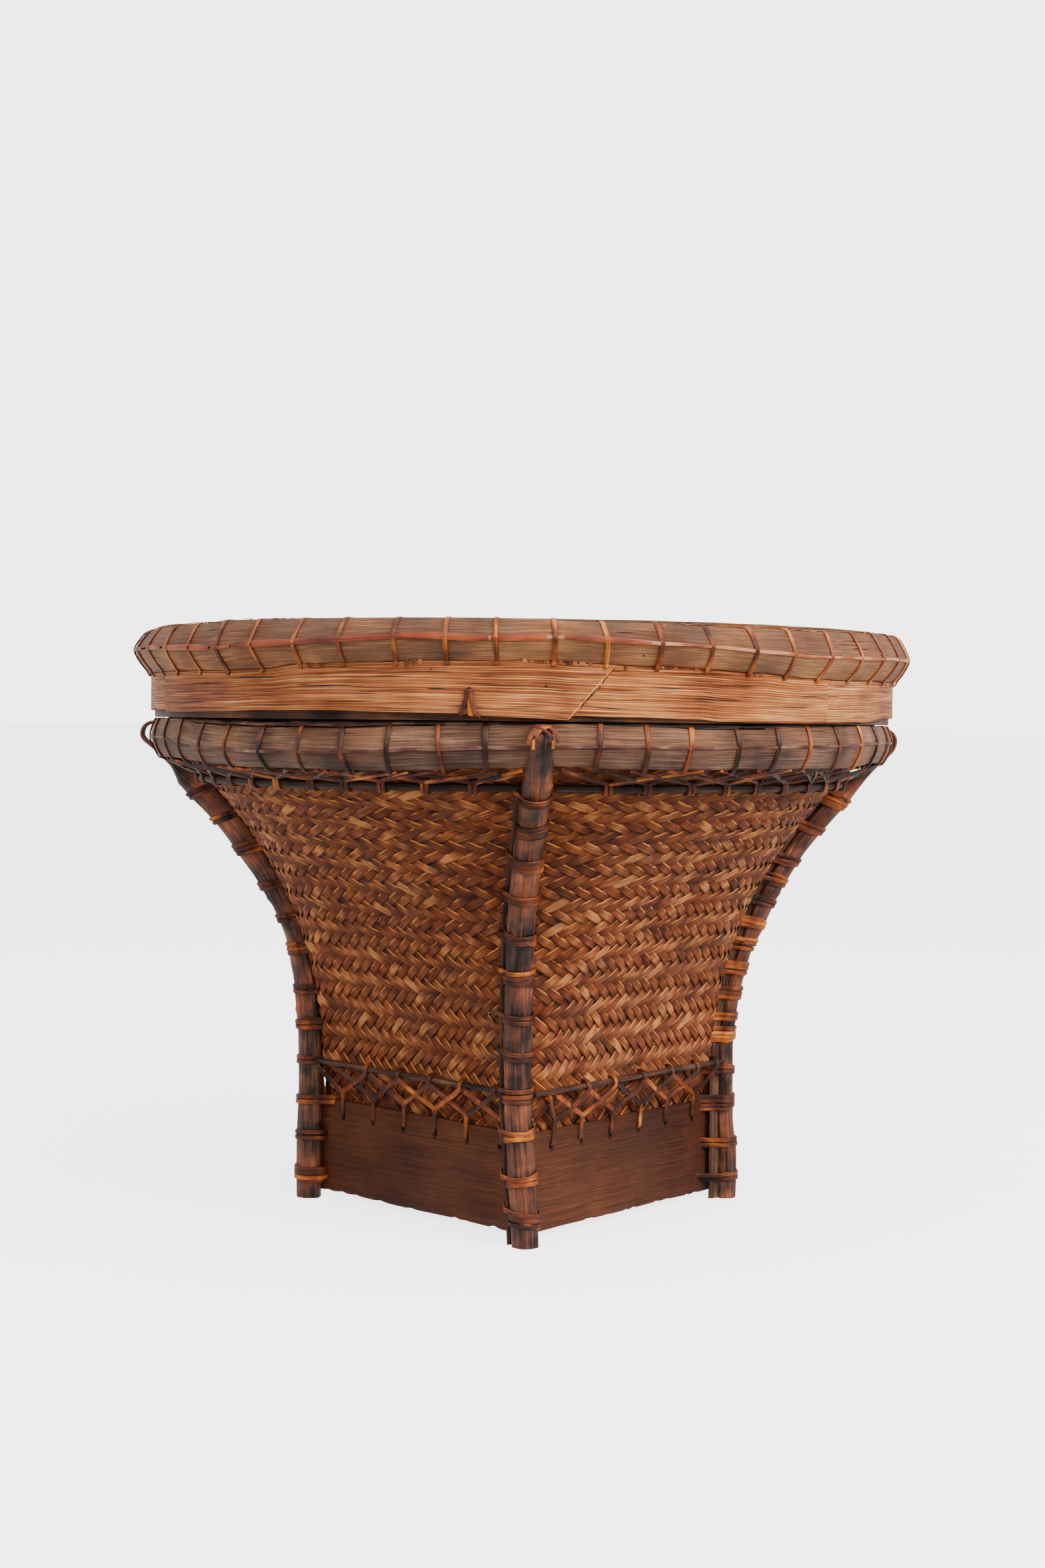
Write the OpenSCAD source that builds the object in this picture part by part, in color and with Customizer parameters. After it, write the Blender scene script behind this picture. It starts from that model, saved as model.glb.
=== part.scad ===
// Lidded cane basket on a square foot: twill-woven body, four bamboo legs, bound hoops and a
// lid that lifts straight off. Millimetres, +Z up, origin on the ground under the middle.

/* [Legs] */
// Distance between the centrelines of neighbouring legs
leg_spacing = 170.8; // [150:0.2:190]
// Width of a leg pole across
leg_w = 14.6; // [12:0.1:17]
// Distance from a leg's centreline to its flat inner side
leg_seat = 6.4; // [5:0.1:7]
// Height at which the legs start to lean outwards
leg_straight = 80; // [72:1:95]
// Width of the thin tongue that each leg ends in
tongue_w = 11; // [8:0.1:11.5]
// Thickness of that tongue
tongue_t = 2.8; // [2:0.1:3.2]
// Outer radius of the tongue's turn over the rim
tongue_turn = 8.6; // [8:0.1:9.2]
// Width of the flat stick that lies beside each leg
stick_w = 4.6; // [3:0.1:6]
// Depth of that stick
stick_d = 4.4; // [3:0.1:5]
// Distance of that stick's top end below the upper rails
stick_drop = 7; // [4:1:40]

/* [Foot boards] */
// Height of a foot board
board_h = 54; // [45:1:58]
// Thickness of a foot board
board_t = 3; // [2:0.1:5]
// Gap between the ground and the boards
board_lift = 4; // [1:0.5:10]
// Number of lacing holes in a board
hole_count = 6; // [3:1:7]
// Distance between lacing holes
hole_pitch = 24.5; // [16:0.5:25]
// Diameter of a lacing hole
hole_d = 4.2; // [3:0.1:6]
// Distance of the holes below a board's top edge
hole_drop = 9; // [6:0.5:14]

/* [Woven body] */
// Height of the woven floor above the ground
floor_z = 38; // [30:1:42]
// Thickness of the woven floor
floor_t = 2.6; // [1.5:0.1:4]
// Half the width of the flat part of the floor
floor_half = 66; // [50:1:70]
// Thickness of the woven wall, measured level
wall_t = 2.4; // [1.5:0.1:3]
// Roundness of the corners at the lower rails, 0 is sharp and 1 is a circle
corner_round = 0.18; // [0.1:0.01:0.5]
// Roundness of the corners where the wall tucks inside the boards
foot_round = 0.04; // [0.02:0.01:0.2]
// Outer radius of the woven wall inside the rim
mouth_r = 204.8; // [190:0.2:215]

/* [Rails and lacing] */
// Diameter of the rail sticks
rail_d = 4; // [3:0.1:5]
// Height of the lower rails above the boards
rail_rise = 22; // [14:1:30]
// Distance of the upper rails below the rim
rail_drop = 9; // [7:0.5:16]
// Width of the binding cane
cane_w = 2.6; // [1.6:0.1:3.2]
// Thickness of the binding cane
cane_t = 1.1; // [0.8:0.1:1.4]
// Height of the first binding on a leg
bind_start = 12; // [6:1:30]
// Distance along a leg from one binding to the next
bind_pitch = 19; // [14:0.5:30]

/* [Rim] */
// Height of the rim's lower edge
rim_base = 252; // [250:1:258]
// Height of the rim
rim_h = 24; // [20:1:28]
// How far the rim's lower edge stands out from the wall
rim_lip = 1.4; // [0.8:0.1:3]
// How far the rim's middle stands out from the wall
rim_belly = 6.1; // [4:0.1:7]
// How far the rim's top edge stands out from the wall
rim_top_lip = 2.9; // [2.4:0.1:3.8]
// Height of the flat on each side of a ridge
ridge_flat = 3.4; // [2.4:0.1:5]
// Diameter of the cane that runs along a ridge
ridge_d = 2.2; // [1.6:0.1:3]
// Thickness of a bent inner hoop
hoop_t = 3; // [2:0.1:4]
// How far the inner hoop of the basket stands above the rim
collar_rise = 6; // [3:0.5:10]
// Distance of the weave's edge below the rim's top
edge_drop = 4; // [3:0.1:6]
// Number of lashings on the basket's rim between two legs
rim_lash_count = 12; // [8:1:14]
// Angle from the first of them to the last
rim_lash_span = 75.8; // [70:0.1:80]
// Slant of the lashings
lash_slant = 0; // [0:1:30]

/* [Lid] */
// Inner radius of the lid's inner hoop, beyond the woven wall
lid_play = 1.5; // [1.2:0.1:2.2]
// Height of the lid's inner hoop below the rim of the lid
band_h = 25.4; // [18:0.2:35]
// How far the plain band's lower edge stays above the hoop's
band_lift = 2.6; // [1:0.1:4]
// Thickness of the band
band_t = 2; // [1.5:0.1:3]
// Angle that the band's overlapping end covers
lap_angle = 76; // [20:1:120]
// Height of the lid's rim
lid_rim_h = 24; // [20:0.5:30]
// How far the lower edge of the lid's rim stands out from the hoop
lid_lip = 3; // [2.5:0.1:4]
// How far the middle of the lid's rim stands out from the hoop
lid_belly = 10.7; // [8:0.1:12]
// How far the top edge of the lid's rim stands out from the hoop
lid_top_lip = 3.9; // [2.5:0.1:5]
// Number of lashings around the lid
lid_lash_count = 52; // [36:1:64]
// Rise of the woven panel in its middle
panel_rise = 4.5; // [2:0.1:7]
// Thickness of the woven panel
panel_t = 2; // [1.5:0.1:3]
// Height of the woven panel's edge above the ridge
panel_lift = 2; // [1:0.1:4]

/* [Hidden] */
// Running clearance between pieces that touch
gap = 0.3;
// Clearance under cane that is pulled tight
tight = 0.15;
// Corner and side directions, in degrees from +X
front_right = -45;
back_right = 45;
back_left = 135;
front_left = 225;
front = -90;
right = 0;
back = 90;
left = 180;

// Legs: their circle, and the face of the boards and wall that they stand against
leg_r = leg_spacing / sqrt(2);
seat = leg_seat + gap;
wall_foot_r = leg_r - seat;
board_top = board_lift + board_h;
rail_low_z = board_top + rail_rise;
board_face = wall_foot_r / sqrt(2);
hole_z = board_top - hole_drop;
cane_reach = leg_w / 2 + tight + cane_t;

// Rim levels
rim_top = rim_base + rim_h;
ridge_z = rim_base + rim_h / 2;
rail_high_z = rim_base - rail_drop;
stick_top = rail_high_z - stick_drop;
rim_in = mouth_r + gap;
rim_lash_step = rim_lash_span / (rim_lash_count - 1);
wall_top = rim_top - edge_drop;
hoop_r = mouth_r - wall_t - 2 * gap;

// The wall's corners and the legs bend on arcs with one centre, and the wall ends at the mouth
wall_reach = mouth_r - wall_foot_r;
wall_rise = ridge_z - leg_straight;
wall_bend_r = (wall_rise * wall_rise + wall_reach * wall_reach) / (2 * wall_reach);
leg_bend_r = wall_bend_r - seat;
leg_arc = asin(wall_rise / wall_bend_r);
leg_run = leg_straight + leg_bend_r * leg_arc * PI / 180;
tuck_half = board_face - board_t - gap;

// The tongue: where its outer face leaves the leg, and its straight run before the turn
tongue_face = sqrt(pow(leg_w / 2, 2) - pow(tongue_w / 2, 2)) - 2 * gap;
tongue_z = leg_straight + (leg_bend_r - tongue_face) * sin(leg_arc);
tongue_x = leg_r + leg_bend_r - (leg_bend_r - tongue_face) * cos(leg_arc);
turn_z = rim_top - 3 * gap - tongue_turn;
tongue_run = (turn_z - tongue_z - tongue_turn * sin(leg_arc)) / cos(leg_arc);
turn_x = tongue_x + tongue_run * sin(leg_arc) - tongue_turn * cos(leg_arc);
turn_end = 132;
turn_steps = 14;
stick_steps = 16;

// Lid levels and radii
lid_base = rim_top + gap;
lid_in = mouth_r + lid_play;
lid_hoop_out = lid_in + hoop_t;
band_in = lid_hoop_out + gap;
lid_rim_base = lid_base + band_h + gap;
lid_top = lid_rim_base + lid_rim_h;
band_base = lid_base + band_lift;
band_top = lid_base + band_h;
lid_ridge_z = lid_rim_base + lid_rim_h / 2;
panel_z = lid_ridge_z + panel_lift;

// Places around the lid, in degrees from +X
lap_end = -35.3;
lap_slope = 6.4;
tie_at = -54.6;
knot_at = -29.9;

// Woven wall mesh: points between a corner and the middle of a side, and level steps
half_steps = 9;
tuck_steps = 4;
lace_steps = 2;
wall_steps = 11;

$fn = 96;

// ---- Shape of the woven wall ----

function smooth(x) = let (c = min(1, max(0, x))) c * c * (3 - 2 * c);

// Radius of the wall's corners at height z: upright, then on the arc out to the mouth
function corner_radius(z) =
    z <= leg_straight ? wall_foot_r
    : z >= ridge_z ? mouth_r
    : wall_foot_r + wall_bend_r - sqrt(pow(wall_bend_r, 2) - pow(z - leg_straight, 2));

// Lean of the wall from upright at height z, in degrees
function wall_lean(z) = asin((z - leg_straight) / wall_bend_r);

// Roundness of the wall at height z: sharp inside the boards, then out to a circle at the mouth
function roundness(z) =
    z < rail_low_z
    ? foot_round
      + (corner_round - foot_round) * max(0, (z - board_top) / (rail_low_z - board_top))
    : corner_round + (1 - corner_round) * smooth((z - rail_low_z) / (rail_high_z - rail_low_z));

function free_half(z) = corner_radius(z) / (sqrt(2) - (sqrt(2) - 1) * roundness(z));

// Half the width of the wall at height z: tucked inside the boards, then out to the rails
function half_width(z) =
    z <= board_top
    ? floor_half + (tuck_half - floor_half) * sin(90 * (z - floor_z) / (board_top - floor_z))
    : z <= rail_low_z
    ? tuck_half + (free_half(rail_low_z) - tuck_half) * (z - board_top) / (rail_low_z - board_top)
    : free_half(z);

// Distance to a rounded square of half-width a and roundness t, at angle p from a side's middle
function squircle(a, t, p) =
    let (c = a * t, b = a - c)
    a * tan(p) <= b ? a / cos(p)
    : b * (cos(p) + sin(p)) + sqrt(c * c - pow(b * (cos(p) - sin(p)), 2));

// Directions around the wall, closer together near the corners
half_turns = [for (i = [0:half_steps]) 45 * pow(i / half_steps, 1.3)];
turns = [
    for (quarter = [0:3])
        for (i = [-half_steps:half_steps - 1])
            [45 + 90 * quarter + sign(i) * half_turns[abs(i)], 45 - half_turns[abs(i)]]
];

function ring(z, inset) = [
    for (turn = turns)
        let (a = half_width(z), r = squircle(a, roundness(z), turn[1]) * (1 - inset / a))
        [r * cos(turn[0]), r * sin(turn[0]), z]
];

wall_levels = concat(
    [for (i = [0:tuck_steps - 1]) floor_z + (board_top - floor_z) * i / tuck_steps],
    [for (i = [0:lace_steps - 1]) board_top + (rail_low_z - board_top) * i / lace_steps],
    [for (i = [0:wall_steps]) rail_low_z + (ridge_z - rail_low_z) * i / wall_steps],
    [wall_top]
);

function quad(a, b, c, d) = [[a, b, c], [a, c, d]];

module woven_vessel() {
    n = len(turns);
    m = len(wall_levels);
    outer = [for (z = wall_levels) each ring(z, 0)];
    inner = [for (z = wall_levels) each ring(max(z, floor_z + floor_t), wall_t)];
    skin = [
        for (k = [0:m - 2]) for (i = [0:n - 1])
            let (j = (i + 1) % n)
            each quad(k * n + i, (k + 1) * n + i, (k + 1) * n + j, k * n + j)
    ];
    lining = [
        for (k = [0:m - 2]) for (i = [0:n - 1])
            let (j = (i + 1) % n, s = m * n)
            each quad(s + k * n + i, s + k * n + j, s + (k + 1) * n + j, s + (k + 1) * n + i)
    ];
    lip = [
        for (i = [0:n - 1])
            let (j = (i + 1) % n, a = (m - 1) * n, b = (2 * m - 1) * n)
            each quad(a + i, b + i, b + j, a + j)
    ];
    middle = [[0, 0, floor_z], [0, 0, floor_z + floor_t]];
    underside = [for (i = [0:n - 1]) [2 * m * n, i, (i + 1) % n]];
    floor_top = [for (i = [0:n - 1]) [2 * m * n + 1, m * n + (i + 1) % n, m * n + i]];
    color("#8a5634")
        polyhedron(points = concat(outer, inner, middle),
                   faces = concat(skin, lining, lip, underside, floor_top));
}

// ---- Foot boards, rails and lacing; each side is built facing +X ----

module on_side(direction) {
    rotate(direction) children();
}

// Spaces that the leg and its side stick take at both ends of a side
module corner_spaces() {
    for (k = [-1, 1])
        rotate(45 * k) translate([leg_r, 0, 0])
            linear_extrude(rim_base) {
                circle(cane_reach + gap);
                translate([-leg_seat - gap, -stick_start() - stick_w - gap])
                    square([stick_d + 2 * gap, stick_w + 2 * gap]);
            }
}

function hole_y(i) = (i - (hole_count - 1) / 2) * hole_pitch;

module base_board(direction) {
    inside = board_face - board_t;
    color("#5c3420") on_side(direction)
        difference() {
            translate([0, 0, board_lift]) linear_extrude(board_h)
                polygon([[inside, -inside], [board_face, -board_face],
                         [board_face, board_face], [inside, inside]]);
            for (i = [0:hole_count - 1])
                translate([inside - gap, hole_y(i), hole_z])
                    rotate([0, 90, 0]) cylinder(h = board_t + 2 * gap, d = hole_d, $fn = 24);
        }
}

rail_x = half_width(rail_low_z) + rail_d / 2 + gap;

module lower_rail(direction) {
    color("#33241e") on_side(direction)
        difference() {
            translate([rail_x, 0, rail_low_z]) rotate([90, 0, 0])
                cylinder(h = leg_spacing, d = rail_d, center = true);
            corner_spaces();
        }
}

// One side's lacing: a flat stitch up each hole, then canes that cross to the next columns
module lower_lacing(direction) {
    base_x = board_face + tight;
    fork = board_top + 2;
    top_x = rail_x + rail_d / 2 + tight;
    rise = rail_low_z - fork;
    tilt = atan((top_x - base_x) / rise);
    slope = rise / cos(tilt);
    lattice_turn = atan(hole_pitch / slope);
    color("#6b3c28") on_side(direction) {
        for (i = [0:hole_count - 1])
            translate([base_x, hole_y(i) - cane_w / 2, hole_z])
                cube([cane_t, cane_w, fork - hole_z]);
        translate([base_x, 0, fork + tight]) rotate([0, tilt, 0]) rotate([90, 0, 90])
            linear_extrude(cane_t) intersection() {
                translate([-leg_spacing / 2, 0]) square([leg_spacing, slope - cane_w / 2]);
                union() {
                    for (i = [0:hole_count - 1]) {
                        if (i > 0)
                            translate([hole_y(i), 0]) rotate(lattice_turn)
                                translate([-cane_w / 2, -cane_w])
                                    square([cane_w, slope / cos(lattice_turn) + cane_w]);
                        if (i < hole_count - 1)
                            translate([hole_y(i), 0]) rotate(-lattice_turn)
                                translate([-cane_w / 2, -cane_w])
                                    square([cane_w, slope / cos(lattice_turn) + cane_w]);
                    }
                    translate([hole_y(0) - cane_w / 2, 0]) square([cane_w, slope]);
                    translate([hole_y(hole_count - 1) - cane_w / 2, 0]) square([cane_w, slope]);
                }
            }
    }
}

high_rail_r = corner_radius(rail_high_z) + (rail_d / 2 + gap) / cos(wall_lean(rail_high_z));

module upper_rail(direction) {
    clear = asin((cane_reach + gap) / high_rail_r);
    color("#33241e") rotate(direction - 45 + clear)
        rotate_extrude(angle = 90 - 2 * clear)
            translate([high_rail_r, rail_high_z]) circle(d = rail_d, $fn = 24);
}

// Crossed canes between the upper rails and the rim's lower edge, one between two lashings
module upper_lacing() {
    low = [high_rail_r + rail_d / 2 + gap, rail_high_z];
    high = [rim_in + rim_lip / 2, rim_base - gap - cane_t];
    run = norm(high - low);
    tilt = atan2(high[1] - low[1], high[0] - low[0]);
    low_w = 2 * low[0] * tan(rim_lash_step / 2) - cane_w - gap;
    high_w = 2 * high[0] * tan(rim_lash_step / 2) - cane_w - gap;
    color("#6b3c28")
        for (side = [front, right, back, left]) for (i = [1:rim_lash_count - 1])
            rotate(side - rim_lash_span / 2 + (i - 0.5) * rim_lash_step)
                translate([low[0], 0, low[1]]) rotate([0, -tilt, 0])
                    linear_extrude(cane_t)
                        for (k = [-1, 1])
                            polygon([
                                [0, k * low_w / 2 - cane_w / 2], [0, k * low_w / 2 + cane_w / 2],
                                [run, -k * high_w / 2 + cane_w / 2],
                                [run, -k * high_w / 2 - cane_w / 2]
                            ]);
}

// ---- Legs ----

// Sweeps a flat shape along the leg's centreline between two lengths measured from the foot.
// The shape's x runs outwards from the basket and its y runs sideways.
module along_leg(from, to) {
    per_degree = leg_bend_r * PI / 180;
    first = max(0, (from - leg_straight) / per_degree);
    last = (to - leg_straight) / per_degree;
    union() {
        if (from < leg_straight)
            translate([leg_r, 0, from]) linear_extrude(min(to, leg_straight) - from) children();
        if (to > leg_straight)
            translate([leg_r + leg_bend_r, 0, leg_straight])
                mirror([1, 0, 0]) rotate([90, 0, 0]) rotate(first)
                    rotate_extrude(angle = last - first)
                        translate([leg_bend_r, 0]) mirror([1, 0]) children();
    }
}

// Length along the leg at which its centreline reaches height z
function run_at(z) = leg_straight + leg_bend_r * asin((z - leg_straight) / leg_bend_r) * PI / 180;

module leg_section() {
    intersection() {
        circle(d = leg_w, $fn = 48);
        translate([-leg_seat, -leg_w]) square([leg_w * 2, leg_w * 2]);
    }
}

// Everything that the rim fills, grown by a clearance
module rim_space() {
    rotate_extrude()
        polygon([
            [hoop_r - hoop_t, rim_base - gap], [rim_in + rim_lip + gap, rim_base - gap],
            [rim_in + rim_belly + gap, ridge_z - ridge_flat],
            [rim_in + rim_belly + gap, ridge_z + ridge_flat],
            [rim_in + rim_top_lip + gap, rim_top], [hoop_r - hoop_t, rim_top]
        ]);
}

// Side view of the tongue: it runs on from the leg, then turns back over the rim
module tongue_outline() {
    inner_turn = tongue_turn - tongue_t;
    heel = 2 * tongue_t;
    back = [-sin(leg_arc), -cos(leg_arc)];
    inward = [-cos(leg_arc), sin(leg_arc)];
    face = [tongue_x, tongue_z];
    bend = [for (i = [0:turn_steps]) -leg_arc + (leg_arc + turn_end) * i / turn_steps];
    polygon(concat(
        [face + heel * back],
        [for (a = bend) [turn_x, turn_z] + tongue_turn * [cos(a), sin(a)]],
        [for (i = [turn_steps:-1:0]) [turn_x, turn_z] + inner_turn * [cos(bend[i]), sin(bend[i])]],
        [face + heel * back + tongue_t * inward]
    ));
}

module corner_leg(direction) {
    color("#5a2d1c") rotate(direction) difference() {
        union() {
            along_leg(0, leg_run) leg_section();
            translate([0, tongue_w / 2, 0]) rotate([90, 0, 0])
                linear_extrude(tongue_w) tongue_outline();
        }
        rim_space();
    }
}

function stick_start() = cane_reach + gap;

// Point of the leg's side view at a lean angle, set out from its centreline by x
function leg_point(angle, x) = [
    leg_r + leg_bend_r - (leg_bend_r - x) * cos(angle),
    leg_straight + (leg_bend_r - x) * sin(angle)
];

module side_stick(direction) {
    lean = asin((stick_top - leg_straight) / leg_bend_r);
    bend = [for (i = [0:stick_steps]) lean * i / stick_steps];
    outside = stick_d - leg_seat;
    color("#5a2d1c") rotate(direction)
        translate([0, -stick_start(), 0]) rotate([90, 0, 0])
            linear_extrude(stick_w) polygon(concat(
                [[leg_r + outside, 0]],
                [for (a = bend) leg_point(a, outside)],
                [for (i = [stick_steps:-1:0]) leg_point(bend[i], -leg_seat)],
                [[leg_r - leg_seat, 0]]
            ));
}

// Pairs of cane turns round the outside of a leg; their ends go in beside its flat
module leg_binding(direction) {
    last = run_at(rail_high_z) - 2 * cane_w;
    color("#6b3c28") rotate(direction)
        for (at = [bind_start:bind_pitch:last]) for (k = [0, 1])
            along_leg(at + k * (cane_w + gap), at + k * (cane_w + gap) + cane_w)
                difference() {
                    circle(r = cane_reach, $fn = 48);
                    circle(r = cane_reach - cane_t, $fn = 48);
                    translate([-2 * leg_w - leg_seat, -leg_w]) square([2 * leg_w, 2 * leg_w]);
                }
}

// ---- Rims ----

// A bent hoop of rectangular section
module hoop(inner_r, thickness, low, high) {
    rotate_extrude() translate([inner_r, low]) square([thickness, high - low]);
}

// Half of a ridged rim: a strip whose outer face slopes from its edge to the ridge
module ridged_strip(inner_r, edge, ridge, lip, belly) {
    side = sign(ridge - edge);
    rotate_extrude()
        polygon([
            [inner_r, edge], [inner_r + lip, edge], [inner_r + belly, ridge - side * ridge_flat],
            [inner_r + belly, ridge - side * gap / 2], [inner_r, ridge - side * gap / 2]
        ]);
}

module ridge_cane(r, z) {
    rotate_extrude() translate([r + tight + ridge_d / 2, z]) circle(d = ridge_d, $fn = 24);
}

// Flat cane laid on a sloping face, from one point of the rim's outline to another
module strap(from, to, slant) {
    lean = atan2(to[0] - from[0], to[1] - from[1]);
    length = norm(to - from) * 0.92;
    translate([(from[0] + to[0]) / 2, 0, (from[1] + to[1]) / 2])
        rotate([0, lean, 0]) translate([tight + cane_t / 2, 0, 0])
            rotate([slant, 0, 0]) cube([cane_t, cane_w, length], center = true);
}

// One lashing over a ridged rim
module lashing(inner_r, low, ridge, high, lip, belly, top_lip) {
    strap([inner_r + lip, low], [inner_r + belly, ridge - ridge_flat], lash_slant);
    strap([inner_r + belly, ridge + ridge_flat], [inner_r + top_lip, high], -lash_slant);
}

module rim_inner_hoop() {
    color("#6f4428")
        hoop(hoop_r - hoop_t, hoop_t, ridge_z + gap, rim_top + collar_rise);
}

module rim_lower_strip() {
    color("#5f4030") ridged_strip(rim_in, rim_base, ridge_z, rim_lip, rim_belly);
}

module rim_upper_strip() {
    color("#5f4030") ridged_strip(rim_in, rim_top, ridge_z, rim_top_lip, rim_belly);
}

module rim_ridge_cane() {
    color("#7a3a20") ridge_cane(rim_in + rim_belly, ridge_z);
}

// Cane laid on the edge of the weave, between the hoops
module rim_cap_cane() {
    color("#6b3c28") rotate_extrude()
        translate([mouth_r - wall_t / 2, wall_top + gap + wall_t / 2])
            circle(d = wall_t, $fn = 24);
}

// Lashings between the legs, with a little more room beside each leg
module rim_lashings() {
    color("#6b3c28")
        for (side = [front, right, back, left]) for (i = [0:rim_lash_count - 1])
            rotate(side - rim_lash_span / 2 + i * rim_lash_step)
                lashing(rim_in, rim_base, ridge_z, rim_top, rim_lip, rim_belly, rim_top_lip);
}

// ---- Lid ----

module lid_inner_hoop() {
    color("#8c5a35") hoop(lid_in, hoop_t, lid_base, panel_z - gap);
}

// A bent band whose outer end laps over the inner one and is cut off at a slant
module lid_band() {
    lap_t = band_t * 0.6;
    color("#b5763f") {
        hoop(band_in, band_t, band_base, band_top);
        difference() {
            rotate(lap_end - lap_angle) rotate_extrude(angle = lap_angle)
                translate([band_in + band_t / 2, band_base])
                    square([band_t / 2 + lap_t, band_top - band_base]);
            rotate(lap_end) translate([0, 0, band_top])
                rotate([-atan(band_in * lap_slope * PI / 180 / band_h), 0, 0])
                    translate([band_in / 2, 0, -2 * band_h])
                        cube([band_in, band_h, 3 * band_h]);
        }
    }
}

module lid_band_tie() {
    face = band_in + band_t * 1.6 + tight;
    color("#6b3c28") rotate(tie_at)
        for (k = [-1, 1])
            translate([face, k * cane_w * 0.8 - cane_w / 2, band_base + gap])
                cube([cane_t, cane_w, band_h / 2]);
}

function panel_height(r, outer) = panel_rise * (1 - pow(r / outer, 2));

module lid_woven_panel() {
    outer = lid_hoop_out - gap;
    steps = 12;
    radii = [for (i = [0:steps]) outer * i / steps];
    color("#8a5634") rotate_extrude()
        polygon(concat(
            [for (r = radii) [r, panel_z + panel_height(r, outer)]],
            [for (i = [steps:-1:0]) [radii[i], panel_z + panel_t + panel_height(radii[i], outer)]]
        ));
}

module lid_top_hoop() {
    color("#8c5a35")
        hoop(lid_hoop_out - hoop_t, hoop_t, panel_z + panel_t + 2 * gap, lid_top);
}

module lid_lower_strip() {
    color("#8c5a35") ridged_strip(band_in, lid_rim_base, lid_ridge_z, lid_lip, lid_belly);
}

module lid_upper_strip() {
    color("#8c5a35") ridged_strip(band_in, lid_top, lid_ridge_z, lid_top_lip, lid_belly);
}

module lid_ridge_cane() {
    color("#7a3a20") ridge_cane(band_in + lid_belly, lid_ridge_z);
}

module lid_lashings() {
    color("#a0602c")
        for (i = [0:lid_lash_count - 1]) rotate(knot_at + i * 360 / lid_lash_count)
            lashing(band_in, lid_rim_base, lid_ridge_z, lid_top, lid_lip, lid_belly, lid_top_lip);
}

// Loose end of the cane, knotted over a lashing on the sloping top of the rim
module lid_knot() {
    knot_d = 2 * cane_w;
    face = band_in + (lid_top_lip + lid_belly) / 2;
    rise = (lid_rim_h / 2 - ridge_flat);
    lean = atan((lid_belly - lid_top_lip) / rise);
    color("#6b3c28") rotate(knot_at)
        translate([face, 0, lid_top - rise / 2]) rotate([0, -lean, 0])
            translate([2 * tight + cane_t * 1.5, 0, 0]) rotate([0, 90, 0])
                rotate_extrude() translate([knot_d / 2, 0]) circle(d = cane_t, $fn = 16);
}

woven_vessel();
base_board(front);  // base_board_front
base_board(right);  // base_board_right
base_board(back);  // base_board_back
base_board(left);  // base_board_left
corner_leg(front_right);  // corner_leg_front_right
corner_leg(back_right);  // corner_leg_back_right
corner_leg(back_left);  // corner_leg_back_left
corner_leg(front_left);  // corner_leg_front_left
side_stick(front_right);  // side_stick_front_right
side_stick(back_right);  // side_stick_back_right
side_stick(back_left);  // side_stick_back_left
side_stick(front_left);  // side_stick_front_left
leg_binding(front_right);  // leg_binding_front_right
leg_binding(back_right);  // leg_binding_back_right
leg_binding(back_left);  // leg_binding_back_left
leg_binding(front_left);  // leg_binding_front_left
lower_rail(front);  // lower_rail_front
lower_rail(right);  // lower_rail_right
lower_rail(back);  // lower_rail_back
lower_rail(left);  // lower_rail_left
lower_lacing(front);  // lower_lacing_front
lower_lacing(right);  // lower_lacing_right
lower_lacing(back);  // lower_lacing_back
lower_lacing(left);  // lower_lacing_left
upper_rail(front);  // upper_rail_front
upper_rail(right);  // upper_rail_right
upper_rail(back);  // upper_rail_back
upper_rail(left);  // upper_rail_left
upper_lacing();
rim_inner_hoop();
rim_lower_strip();
rim_upper_strip();
rim_ridge_cane();
rim_cap_cane();
rim_lashings();
lid_inner_hoop();
lid_band();
lid_band_tie();
lid_woven_panel();
lid_top_hoop();
lid_lower_strip();
lid_upper_strip();
lid_ridge_cane();
lid_lashings();
lid_knot();
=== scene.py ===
"""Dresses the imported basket: woven cane, bamboo hoops, bound legs and a lift-off lid."""

import logging
import math
from dataclasses import dataclass, field
from enum import Enum
from typing import Any

import bpy
import numpy as np
from mathutils import Matrix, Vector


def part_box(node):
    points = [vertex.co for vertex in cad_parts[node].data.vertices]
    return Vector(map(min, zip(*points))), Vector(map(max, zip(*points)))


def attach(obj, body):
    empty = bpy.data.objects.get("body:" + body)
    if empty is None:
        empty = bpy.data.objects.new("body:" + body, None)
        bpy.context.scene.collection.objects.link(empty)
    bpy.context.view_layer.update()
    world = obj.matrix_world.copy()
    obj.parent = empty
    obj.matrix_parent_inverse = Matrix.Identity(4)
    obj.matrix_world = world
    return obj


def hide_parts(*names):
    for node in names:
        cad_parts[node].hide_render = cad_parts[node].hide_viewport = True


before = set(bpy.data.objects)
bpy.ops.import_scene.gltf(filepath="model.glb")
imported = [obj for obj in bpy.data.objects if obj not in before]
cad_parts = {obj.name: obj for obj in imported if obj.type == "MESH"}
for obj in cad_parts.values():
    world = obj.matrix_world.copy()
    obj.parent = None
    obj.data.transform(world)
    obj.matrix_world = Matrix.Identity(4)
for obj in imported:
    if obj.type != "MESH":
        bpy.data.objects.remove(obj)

LOG = logging.getLogger("basket")
UP = np.array([0.0, 0.0, 1.0])
MM = 0.001
TURN = 2 * math.pi
# Millimetres: between pieces that touch, under cane that is pulled tight, and a hoop's thickness
GAP = 0.3
CANE_GAP = 0.1
HOOP_T = 3.0

Points = np.ndarray
Keys = tuple[tuple[float, float], ...]
Piece = bpy.types.Object
Socket = bpy.types.NodeSocket
Tree = bpy.types.NodeTree


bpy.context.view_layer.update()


def low(node: str, axis: int) -> float:
    """Returns the lowest coordinate of a CAD node along an axis, in millimetres."""
    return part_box(node)[0][axis] / MM


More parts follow.
